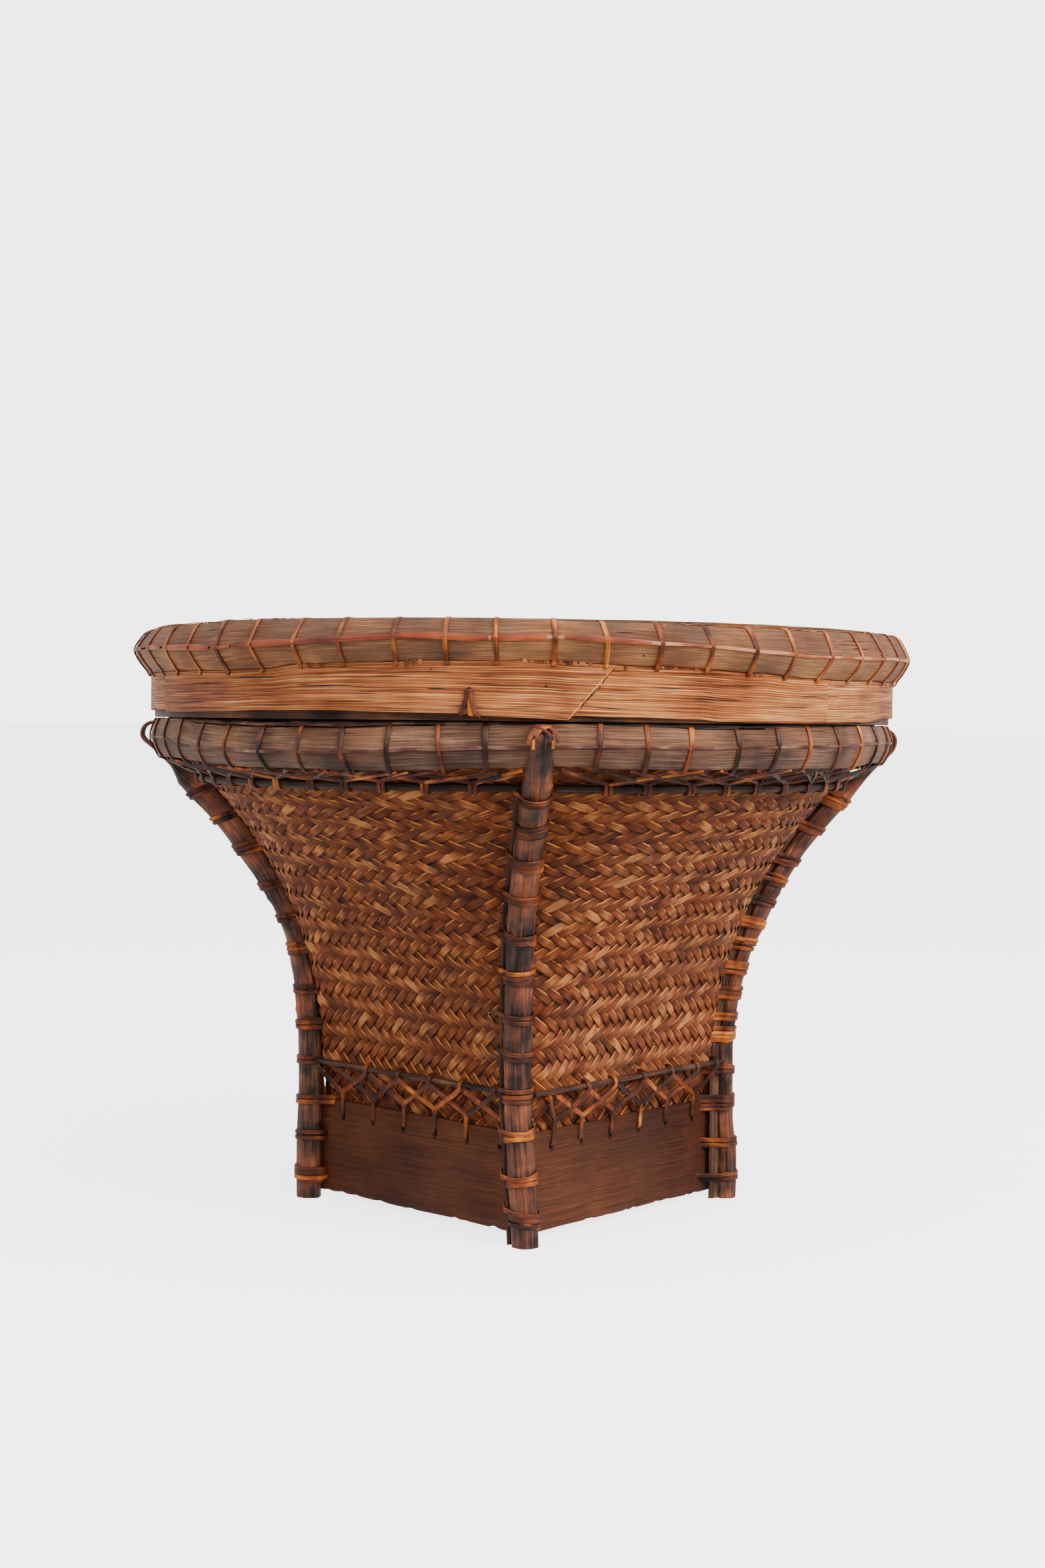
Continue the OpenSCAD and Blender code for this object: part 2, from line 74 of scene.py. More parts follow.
def high(node: str, axis: int) -> float:
    """Returns the highest coordinate of a CAD node along an axis, in millimetres."""
    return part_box(node)[1][axis] / MM


def middle_of(node: str, axis: int) -> float:
    """Returns the middle of a CAD node along an axis, in millimetres."""
    return (low(node, axis) + high(node, axis)) / 2


# ---- Small shape tools ----


def smooth(x: Points) -> Points:
    """Eases from 0 to 1.

    Args:
        x: Any numbers; they are clipped to 0 to 1.

    Returns:
        The eased numbers.
    """
    c = np.clip(x, 0.0, 1.0)
    return c * c * (3 - 2 * c)


def unit(v: Points) -> Points:
    """Returns vectors scaled to length 1."""
    return v / np.maximum(np.linalg.norm(v, axis=-1, keepdims=True), 1e-9)


def ripple(angle: Points, seed: int, low_mode: int, high_mode: int, size: float) -> Points:
    """Makes a gentle uneven wave that closes on itself around a hoop.

    Args:
        angle: Angles in radians.
        seed: Fixed seed of the wave's phases.
        low_mode: Fewest waves in a turn.
        high_mode: Most waves in a turn.
        size: Rough height of the wave.

    Returns:
        The wave's value at each angle.
    """
    rng = np.random.default_rng(seed)
    modes = np.arange(low_mode, high_mode + 1)
    phase = rng.uniform(0, TURN, modes.size)
    weight = rng.uniform(0.5, 1.0, modes.size)
    weight = weight / np.sqrt((weight ** 2).sum())
    wave = np.sin(np.multiply.outer(angle, modes) + phase)
    return size * (wave * weight).sum(-1)


def keyed(at: Points, keys: Keys, period: float = 0.0) -> Points:
    """Runs an eased curve through keys.

    Args:
        at: Where the curve is wanted.
        keys: (place, value) pairs, places rising.
        period: Length after which the curve repeats, or 0.

    Returns:
        The curve's values.
    """
    x, y = (np.array(k, float) for k in zip(*keys))
    if period:
        at = (np.asarray(at, float) - x[0]) % period + x[0]
        x, y = np.append(x, x[0] + period), np.append(y, y[0])
    at = np.clip(at, x[0], x[-1])
    i = np.clip(np.searchsorted(x, at, "right") - 1, 0, len(x) - 2)
    return y[i] + (y[i + 1] - y[i]) * smooth((at - x[i]) / (x[i + 1] - x[i]))


def summed(steps: Points) -> Points:
    """Returns the running total of steps, from 0."""
    return np.concatenate([[0], np.cumsum(steps)])


def full_turn(steps: int) -> Points:
    """Returns evenly spaced angles once around, in radians."""
    return np.linspace(0, TURN, steps, endpoint=False)


def tapered(steps: int) -> Points:
    """Returns girths that run out to a point at both ends."""
    return np.sin(np.linspace(0.15, math.pi - 0.15, steps))


def polar(r: Points, angle: Points, z: Points) -> Points:
    """Returns points at radius r, an angle in radians and height z."""
    r, angle, z = np.broadcast_arrays(r, angle, z)
    return np.stack([r * np.cos(angle), r * np.sin(angle), z], -1)


def outward(angle: Points, rise: float = 0.0) -> Points:
    """Returns directions away from the middle axis, at angles in radians."""
    return polar(1.0, angle, rise)


def eased(lift: Points, weights: tuple[float, ...]) -> Points:
    """Returns over and under with soft changes, weighed about each crossing."""
    return np.convolve(np.pad(lift, len(weights) // 2, "edge"), weights, "valid")


def pick(rng: np.random.Generator, shades: tuple[float, ...],
         odds: tuple[float, ...] | None = None) -> float:
    """Returns one of a few shades, drawn by their odds."""
    return float(rng.choice(shades, p=odds))


def diagonal(t: Points, c: float, family: int, z: Points) -> Points:
    """Returns a flat line at 45 degrees, at t along it and c beside the middle."""
    u, v = (t, np.full_like(t, c)) if family == 0 else (np.full_like(t, c), t)
    z = np.broadcast_to(z, t.shape)
    return np.stack([(u - v) / math.sqrt(2), (u + v) / math.sqrt(2), z], -1)


def turned(points: Points, degrees: float) -> Points:
    """Returns points turned about the vertical axis."""
    a = math.radians(degrees)
    spin = np.array([[math.cos(a), math.sin(a), 0], [-math.sin(a), math.cos(a), 0], [0, 0, 1]])
    return points @ spin


def through(points: Any, steps: int) -> Points:
    """Runs a smooth line through points.

    Args:
        points: The points that the line goes through.
        steps: Steps between two points.

    Returns:
        The line's points.
    """
    p = np.asarray(points, float)
    q = np.concatenate([[2 * p[0] - p[1]], p, [2 * p[-1] - p[-2]]])
    t = np.linspace(0, 1, steps, endpoint=False)[:, None]
    line = []
    for i in range(len(p) - 1):
        a, b, c, d = q[i:i + 4]
        line.append(0.5 * (2 * b + (c - a) * t + (2 * a - 5 * b + 4 * c - d) * t ** 2
                           + (3 * b - a - 3 * c + d) * t ** 3))
    return np.concatenate(line + [p[-1:]])


def through_polar(points: list, steps: int) -> Points:
    """Runs a smooth line through (radius, degrees, height) points."""
    r, degrees, z = np.array(points, float).T
    return through(polar(r, np.radians(degrees), z), steps)


def above_ground(points: Points) -> Points:
    """Returns points with none below the floor."""
    points[..., 2] = np.maximum(points[..., 2], 0.0)
    return points


# ---- Meshes ----


def add_object(name: str, data: Any) -> Piece:
    """Adds an object to the scene and returns it."""
    added = bpy.data.objects.new(name, data)
    bpy.context.scene.collection.objects.link(added)
    return added


def applied(holder: Piece) -> bpy.types.Mesh:
    """Returns a new mesh with an object's modifiers applied."""
    graph = bpy.context.evaluated_depsgraph_get()
    return bpy.data.meshes.new_from_object(holder.evaluated_get(graph))


def finish_mesh(mesh: bpy.types.Mesh, crease: float = 35.0) -> None:
    """Turns faces outwards and keeps edges crisp above an angle.

    Args:
        mesh: A closed mesh.
        crease: Angle in degrees above which an edge stays sharp.
    """
    mesh.validate()
    mesh.calc_loop_triangles()
    co = np.empty(len(mesh.vertices) * 3)
    mesh.vertices.foreach_get("co", co)
    co = co.reshape(-1, 3)
    tri = np.empty(len(mesh.loop_triangles) * 3, np.int32)
    mesh.loop_triangles.foreach_get("vertices", tri)
    a, b, c = (co[tri.reshape(-1, 3)[:, k]] for k in range(3))
    if np.einsum("ij,ij->i", a, np.cross(b, c)).sum() < 0:
        mesh.flip_normals()
    mesh.shade_smooth()
    mesh.set_sharp_from_angle(angle=math.radians(crease))


def loft(name: str, rings: Points, closed: bool = False, tone: float = 0.5) -> Piece:
    """Skins a row of closed outlines.

    Args:
        name: The piece's name.
        rings: Outlines as [outline, point, xyz], in millimetres.
        closed: Whether the last outline joins the first, as on a hoop.
        tone: Shade of the piece within its finish, 0 to 1.

    Returns:
        The new object, with a "fibre" attribute in millimetres along and across the fibres.
    """
    n, m, _ = rings.shape
    rows = n if closed else n - 1
    i, j = np.meshgrid(np.arange(rows), np.arange(m), indexing="ij")
    i2, j2 = (i + 1) % n, (j + 1) % m
    quads = np.stack([i * m + j, i2 * m + j, i2 * m + j2, i * m + j2], -1).reshape(-1, 4)
    faces = quads.tolist()
    if not closed:
        faces += [list(range(m))[::-1], list(range((n - 1) * m, n * m))]
    mesh = bpy.data.meshes.new(name)
    mesh.from_pydata((rings.reshape(-1, 3) * MM).tolist(), [], faces)
    step = np.linalg.norm(np.diff(rings.mean(1), axis=0, append=rings[:1].mean(1)), axis=-1)
    along = summed(step)
    side = np.linalg.norm(rings - np.roll(rings, -1, 1), axis=-1).mean(0)
    across = summed(side)
    fibre = np.zeros((sum(len(f) for f in faces), 3), np.float32)
    flat = quads.shape[0] * 4
    fibre[:flat, 0] = np.stack([along[i], along[i + 1], along[i + 1], along[i]], -1).ravel()
    fibre[:flat, 1] = np.stack([across[j], across[j], across[j + 1], across[j + 1]],
                               -1).ravel()
    if not closed:
        ends = rings[[0, -1]].reshape(-1, 3)
        fibre[flat:, 1] = (ends - ends.mean(0)) @ np.array([1.0, 0.6, 0.4])
        fibre[flat:, 0] = 2.0
    fibre[:, 2] = (sum(map(ord, name)) % 97) * 7.3
    mesh.attributes.new("fibre", "FLOAT_VECTOR", "CORNER").data.foreach_set(
        "vector", fibre.ravel())
    mesh.attributes.new("tone", "FLOAT", "POINT").data.foreach_set(
        "value", np.full(n * m, tone, np.float32))
    finish_mesh(mesh)
    return add_object(name, mesh)


def join(name: str, parts: list[Piece]) -> Piece:
    """Joins parts into one piece.

    Args:
        name: The piece's name.
        parts: Objects that share one finish.

    Returns:
        The joined object.
    """
    if len(parts) == 1:
        return parts[0]
    with bpy.context.temp_override(active_object=parts[0], object=parts[0],
                                   selected_editable_objects=parts, selected_objects=parts):
        bpy.ops.object.join()
    parts[0].name = name
    parts[0].data.name = name
    return parts[0]


# ---- Node building ----


def hex_linear(code: str) -> tuple[float, float, float, float]:
    """Turns an sRGB hex colour into linear numbers.

    Args:
        code: A colour such as "#8a5634".

    Returns:
        Linear red, green, blue and 1.
    """
    parts = [int(code[k:k + 2], 16) / 255 for k in (1, 3, 5)]
    rgb = [p / 12.92 if p <= 0.04045 else ((p + 0.055) / 1.055) ** 2.4 for p in parts]
    return (rgb[0], rgb[1], rgb[2], 1.0)


def add_node(tree: Tree, kind: str, settings: dict[str, Any] | None = None,
             inputs: dict[Any, Any] | None = None) -> bpy.types.Node:
    """Adds a node with its settings and links.

    Args:
        tree: The tree that gets the node.
        kind: The node's type.
        settings: Its properties; "stops" gives a colour ramp's (place, hex) pairs.
        inputs: Values or output sockets, by an input's name or number.

    Returns:
        The new node.
    """
    node = tree.nodes.new(kind)
    for key, value in (settings or {}).items():
        if key == "stops":
            ramp = node.color_ramp
            while len(ramp.elements) < len(value):
                ramp.elements.new(0.5)
            for element, (place, code) in zip(ramp.elements, value):
                element.position = place
                element.color = hex_linear(code)
        else:
            setattr(node, key, value)
    for key, value in (inputs or {}).items():
        if isinstance(value, Socket):
            tree.links.new(value, node.inputs[key])
        else:
            node.inputs[key].default_value = value
    return node


def math_node(tree: Tree, operation: str, *values: Any) -> Socket:
    """Adds a sum on numbers or sockets and returns its result."""
    return add_node(tree, "ShaderNodeMath", {"operation": operation},
                    dict(enumerate(values))).outputs[0]


def mapped(tree: Tree, value: Socket, start: float, end: float, top: float,
           bottom: float = 0.0) -> Socket:
    """Returns a number that goes from bottom to top as value goes from start to end."""
    return add_node(tree, "ShaderNodeMapRange", None, {
        "Value": value, "From Min": start, "From Max": end, "To Min": bottom,
        "To Max": top}).outputs["Result"]


def covered(tree: Tree, share: Socket, colour: Socket, code: str) -> Socket:
    """Returns the colour with a share of a hex colour laid over it."""
    return add_node(tree, "ShaderNodeMix", {"data_type": "RGBA"},
                    {0: share, 6: colour, 7: hex_linear(code)}).outputs[2]


def surface_value(tree: Tree, name: str, output: str = "Fac") -> Socket:
    """Returns what a mesh attribute holds."""
    return add_node(tree, "ShaderNodeAttribute", {"attribute_name": name}).outputs[output]


def cloud(tree: Tree, place: Socket, size: float, detail: float) -> Socket:
    """Returns soft noise whose patches are about size millimetres wide."""
    return add_node(tree, "ShaderNodeTexNoise", None, {
        "Vector": place, "Scale": 1 / (size * MM), "Detail": detail}).outputs["Fac"]


def fibre_noise(tree: Tree, fibre: Socket, length: float, width: float,
                detail: float) -> Socket:
    """Returns noise drawn out along the fibres.

    Args:
        tree: The material's tree.
        fibre: Millimetres along and across the fibres.
        length: Length of a streak, in millimetres.
        width: Width of a streak, in millimetres.
        detail: Detail of the noise.
    """
    stretched = add_node(tree, "ShaderNodeVectorMath", {"operation": "MULTIPLY"},
                         {0: fibre, 1: (1 / length, 1 / width, 1.0)})
    return add_node(tree, "ShaderNodeTexNoise", None, {
        "Vector": stretched.outputs["Vector"], "Scale": 1.0,
        "Detail": detail}).outputs["Fac"]


def blend(tree: Tree, base: Socket, pattern: Socket, share: float) -> Socket:
    """Returns base moved up and down by a share of what a pattern differs from one half."""
    away = math_node(tree, "SUBTRACT", pattern, 0.5)
    return math_node(tree, "MULTIPLY_ADD", away, share * 3, base)


# ---- Finishes ----


class Slot(Enum):
    """The record's material slots."""

    WOVEN = "woven_cane"
    BOARD = "foot_board"
    LEG = "leg_bamboo"
    BINDING = "binding_cane"
    STICK = "dark_stick"
    RIM = "rim_bamboo"
    RIDGE = "ridge_cane"
    LID = "lid_bamboo"
    BAND = "band_bamboo"


@dataclass(frozen=True)
class Finish:
    """What every bamboo and cane finish shares: fibres, streaks, a shade for each piece.

    All are plant stems with long straight fibres, so colour runs in streaks along the fibre
    and the surface has fine grooves. The "fibre" attribute holds millimetres along and across.
    Sizes are in millimetres, and a share is how strongly a layer shows, from 0.

    Attributes:
        name: The material's name.
        slot: The record's slot that it stands for, kept as a label only.
        stops: (place, hex) pairs, from the darkest fibre to the lightest.
        edge_colour, edge_share: The pale cut edge of a strip with a painted highlight on one
            side, the upper side on the weave; the other side gets painted shade.
        gloss: Roughness of the surface.
        coat: Weight of the clear coat.
        specular: Strength of the surface's reflections.
        wear_share: How much lighter a strip is rubbed where it stands proud, and how much darker
            it is where it dives under, as painted shade.
        streak_long, streak_wide, streak_share: The streaks along the fibres.
        patch_size, patch_share: Lighter and darker patches.
        groove: Depth of the fine grooves.
        line_colour, line_share: Dark hair-thin lines of torn fibres.
        hole_share: Share of the cells that hold a beetle hole.
        tint_colour, tint_share, tint_size: Ragged patches where age has changed the colour.
    """

    name: str
    slot: Slot
    stops: tuple[tuple[float, str], ...]
    edge_colour: str = "#c98546"
    edge_share: float = 0.0
    gloss: float = 0.5
    coat: float = 0.0
    specular: float = 0.5
    wear_share: float = 0.0
    streak_long: float = 30.0
    streak_wide: float = 0.7
    streak_share: float = 0.35
    patch_size: float = 40.0
    patch_share: float = 0.25
    groove: float = 0.12
    line_colour: str = "#2a150c"
    line_share: float = 0.0
    hole_share: float = 0.0
    tint_colour: str = "#8a4a24"
    tint_share: float = 0.0
    tint_size: float = 30.0

    def build(self) -> bpy.types.Material:
        """Returns the finish as a node material."""
        material = bpy.data.materials.new(self.name)
        material.use_nodes = True
        tree = material.node_tree
        tree.nodes.clear()
        fibre = surface_value(tree, "fibre", "Vector")
        place = add_node(tree, "ShaderNodeTexCoord").outputs["Object"]
        streaks = fibre_noise(tree, fibre, self.streak_long, self.streak_wide, 4.0)
        fine = fibre_noise(tree, fibre, self.streak_long * 0.4, self.streak_wide * 0.3, 3.0)
        shade = blend(tree, surface_value(tree, "tone"), streaks, self.streak_share)
        shade = blend(tree, shade, cloud(tree, place, self.patch_size, 3.0), self.patch_share)
        # Painted shade and wear: the weave's lift makes a strip lighter where it rises over and
        # darker where it dives under.
        if self.wear_share:
            shade = math_node(tree, "MULTIPLY_ADD", surface_value(tree, "lift"),
                              self.wear_share, shade)
        colour = add_node(tree, "ShaderNodeValToRGB", {"stops": self.stops},
                          {"Fac": shade}).outputs["Color"]
        if self.tint_share:
            colour = self.tinted(tree, place, fibre, colour)
        if self.line_share:
            thin = fibre_noise(tree, fibre, 28.0, 0.45, 1.0)
            colour = covered(tree, mapped(tree, thin, 0.62, 0.70, self.line_share), colour,
                             self.line_colour)
        if self.hole_share:
            colour = self.worm_holes(tree, fibre, colour)
        if self.edge_share:
            colour = self.light_edges(tree, fibre, colour)
        bump = add_node(tree, "ShaderNodeBump", None, {
            "Height": blend(tree, streaks, fine, 0.6), "Distance": self.groove * MM * 4,
            "Strength": 0.7})
        shader = add_node(tree, "ShaderNodeBsdfPrincipled", None, {
            "Base Color": colour,
            "Roughness": mapped(tree, fine, 0.3, 0.7, self.gloss + 0.12, self.gloss - 0.08),
            "Normal": bump.outputs["Normal"], "IOR": 1.5, "Coat Weight": self.coat,
            "Coat Roughness": 0.22, "Specular IOR Level": self.specular})
        add_node(tree, "ShaderNodeOutputMaterial", None, {"Surface": shader.outputs["BSDF"]})
        return material

    def tinted(self, tree: Tree, place: Socket, fibre: Socket, colour: Socket) -> Socket:
        """Returns the colour with ragged patches where age has turned it another colour."""
        grain = fibre_noise(tree, fibre, self.streak_long, self.streak_wide * 1.5, 3.0)
        ragged = blend(tree, cloud(tree, place, self.tint_size, 2.0), grain, 0.25)
        return covered(tree, mapped(tree, ragged, 0.46, 0.62, self.tint_share), colour,
                       self.tint_colour)

    def worm_holes(self, tree: Tree, fibre: Socket, colour: Socket) -> Socket:
        """Returns the colour with a few dark round beetle holes, about 1 mm wide."""
        cells = add_node(tree, "ShaderNodeTexVoronoi", {"feature": "F1"}, {
            "Vector": fibre, "Scale": 0.11, "Randomness": 1.0})
        near = mapped(tree, cells.outputs["Distance"], 0.055, 0.075, 0.0, 1.0)
        pick = add_node(tree, "ShaderNodeSeparateColor", None,
                        {"Color": cells.outputs["Color"]})
        chosen = math_node(tree, "LESS_THAN", pick.outputs[0], self.hole_share)
        return covered(tree, math_node(tree, "MULTIPLY", near, chosen), colour, "#0e0705")

    def light_edges(self, tree: Tree, fibre: Socket, colour: Socket) -> Socket:
        """Returns the colour with a pale cut edge and painted highlight on a strip's upper side,
        in broken runs, and painted shade along its lower side.
        """
        edge = surface_value(tree, "edge")
        runs = fibre_noise(tree, fibre, 9.0, 60.0, 1.0)
        shown = mapped(tree, runs, 0.42, 0.56, self.edge_share)
        # Painted shade: a dark band along the strip's lower side edge.
        colour = covered(tree, mapped(tree, edge, -0.6, -1.0, 0.75), colour, "#1a0a05")
        # Painted highlight: the pale cut edge on the upper side, shown in broken runs.
        rise = mapped(tree, edge, 0.66, 0.8, 1.0)
        return covered(tree, math_node(tree, "MULTIPLY", rise, shown), colour,
                       self.edge_colour)


# Split cane from inside the stem, aged: matt brown faces, pale cut edges with a painted
# highlight on the upper side and painted shade on the lower, floats lighter where worn proud and
# darker where they dive under, as painted shade
WEAVE = Finish("split_cane_weave", Slot.WOVEN, (
    (0.0, "#110502"), (0.18, "#35140a"), (0.38, "#652d16"), (0.55, "#803f21"),
    (0.72, "#904d2b"), (0.86, "#a65e35"), (1.0, "#d98b50")), edge_colour="#ee9240",
    edge_share=0.95, gloss=0.6, specular=0.17, streak_long=12.0, streak_wide=0.4,
    streak_share=0.42, patch_size=10.0, patch_share=0.25, groove=0.16, wear_share=0.36,
    tint_colour="#3c2a22", tint_share=0.45, tint_size=16.0)
# Glossy outer skin of rattan, red-brown with dark patches of dirt and orange where rubbed;
# painted shade darkens one side edge of each cane and a painted highlight warms the other
BINDING = Finish("rattan_binding_cane", Slot.BINDING, (
    (0.0, "#160804"), (0.25, "#3a180b"), (0.45, "#5e2a12"), (0.62, "#8a4014"),
    (0.8, "#b85f18"), (1.0, "#e08c30")), edge_colour="#8a4418", edge_share=0.4, gloss=0.32,
    coat=0.08, specular=0.26, streak_long=12.0, streak_wide=0.5, streak_share=0.3,
    patch_size=13.0, patch_share=0.5, groove=0.07)
# Flat red-brown rattan skin along the lid's ridge: the glossiest strip of all
RIDGE = Finish("rattan_ridge_cane", Slot.RIDGE, (
    (0.0, "#320f07"), (0.4, "#70240b"), (0.6, "#98390c"), (0.8, "#b85413"),
    (1.0, "#cf8a5c")), edge_colour="#c8652a", edge_share=0.3, gloss=0.3, coat=0.2,
    specular=0.35, streak_long=18.0, streak_wide=0.6, streak_share=0.3, patch_size=22.0,
    patch_share=0.4, groove=0.07)
# The same cane on the basket's rim, rubbed down to grey-brown fibre with red left in parts
WORN_RIDGE = Finish("rubbed_ridge_cane", Slot.RIDGE, (
    (0.0, "#2c130c"), (0.3, "#56281a"), (0.5, "#6b4738"), (0.7, "#876351"),
    (1.0, "#b8937c")), gloss=0.36, specular=0.35, streak_long=14.0, streak_wide=0.5,
    streak_share=0.4, patch_size=16.0, patch_share=0.8, groove=0.10)
# Split bamboo hoop of the basket's rim: weathered grey-brown with old varnish, long grain
RIM = Finish("weathered_bamboo_rim", Slot.RIM, (
    (0.0, "#1c0e0a"), (0.25, "#432619"), (0.45, "#644230"), (0.65, "#835d46"),
    (1.0, "#ba8c69")), gloss=0.38, specular=0.35, streak_long=26.0, streak_wide=0.45,
    streak_share=0.5, patch_size=30.0, patch_share=0.4, groove=0.18, line_share=0.5,
    hole_share=0.05, tint_colour="#84502c", tint_share=0.5, tint_size=34.0)
# Split bamboo hoop of the lid: as the rim, cleaner and browner, with beetle holes
LID_RING = Finish("bamboo_lid_ring", Slot.LID, (
    (0.0, "#271108"), (0.25, "#583019"), (0.45, "#7a4b2f"), (0.65, "#945e3a"),
    (1.0, "#d4935a")), gloss=0.42, specular=0.28, streak_long=26.0, streak_wide=0.45,
    streak_share=0.45, patch_size=36.0, patch_share=0.35, groove=0.18, line_share=0.4,
    hole_share=0.4, tint_colour="#5f4a3c", tint_share=0.6, tint_size=40.0)
# Planed bamboo band of the lid: golden brown, dark broken lines of torn fibres
BAND = Finish("planed_bamboo_band", Slot.BAND, (
    (0.0, "#2a1006"), (0.22, "#6c3013"), (0.42, "#9b5026"), (0.62, "#be6c36"),
    (0.82, "#e09450"), (1.0, "#f9c080")), gloss=0.4, specular=0.26, streak_long=55.0,
    streak_wide=0.42, streak_share=0.75, patch_size=50.0, patch_share=0.35, groove=0.16,
    line_colour="#2c130a", line_share=0.9)
# Smoked bamboo pole: dark brown skin rubbed through to orange on its long faces
POLE = Finish("smoked_bamboo_pole", Slot.LEG, (
    (0.0, "#150c09"), (0.25, "#37221a"), (0.45, "#583729"), (0.62, "#75432e"),
    (0.8, "#9a5230"), (1.0, "#c06d3d")), gloss=0.36, coat=0.08, specular=0.3,
    streak_long=24.0, streak_wide=1.1, streak_share=0.5, patch_size=16.0,
    patch_share=0.7, groove=0.16, tint_colour="#8f4a29", tint_share=0.4, tint_size=22.0)
# Split bamboo board of the foot: dark red-brown, with fine straight orange grain
BOARD = Finish("bamboo_foot_board", Slot.BOARD, (
    (0.0, "#1e0b05"), (0.28, "#452010"), (0.5, "#603019"), (0.72, "#7d4223"),
    (1.0, "#b06a38")), gloss=0.46, specular=0.2, streak_long=50.0, streak_wide=0.32,
    streak_share=0.42, patch_size=60.0, patch_share=0.3, groove=0.18, line_share=0.5,
    line_colour="#140804", tint_colour="#52372b", tint_share=0.3, tint_size=45.0)
# Smoked stick: dark brown, dull, worn lighter in parts
STICK = Finish("smoked_stick", Slot.STICK, (
    (0.0, "#120906"), (0.45, "#3a241a"), (0.75, "#5a3a2a"), (1.0, "#80593f")), gloss=0.46,
    specular=0.3, streak_long=24.0, streak_wide=0.8, streak_share=0.5, patch_size=25.0,
    patch_share=0.5, groove=0.14)


class Body(Enum):
    """The two bodies of the object."""

    BASKET = "basket"
    LID = "lid"


@dataclass
class Wardrobe:
    """Holds each finish's material, built once.

    Attributes:
        built: The materials, by their finish's name.
    """

    built: dict[str, bpy.types.Material] = field(default_factory=dict)

    def material(self, finish: Finish) -> bpy.types.Material:
        """Returns the material of a finish."""
        if finish.name not in self.built:
            self.built[finish.name] = finish.build()
        return self.built[finish.name]


WARDROBE = Wardrobe()


def place(piece: Piece, body: Body, finish: Finish, *nodes: str,
          slot: Slot | None = None) -> None:
    """Dresses a piece and puts it on its body.

    Args:
        piece: A plain mesh in place.
        body: The body that it moves with.
        finish: Its finish.
        *nodes: CAD nodes that it stands for.
        slot: Not used; the record's slot that it would dress, if it isn't its finish's own.
    """
    slot = slot or finish.slot
    piece.data.materials.clear()
    piece.data.materials.append(WARDROBE.material(finish))
    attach(piece, body.value)
    if nodes:
        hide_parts(*nodes)
    piece.data.calc_loop_triangles()
    LOG.info("%s on %s, %d triangles", piece.name, body.value,
             len(piece.data.loop_triangles))


# ---- Ribbons of cane, swept by Geometry Nodes ----


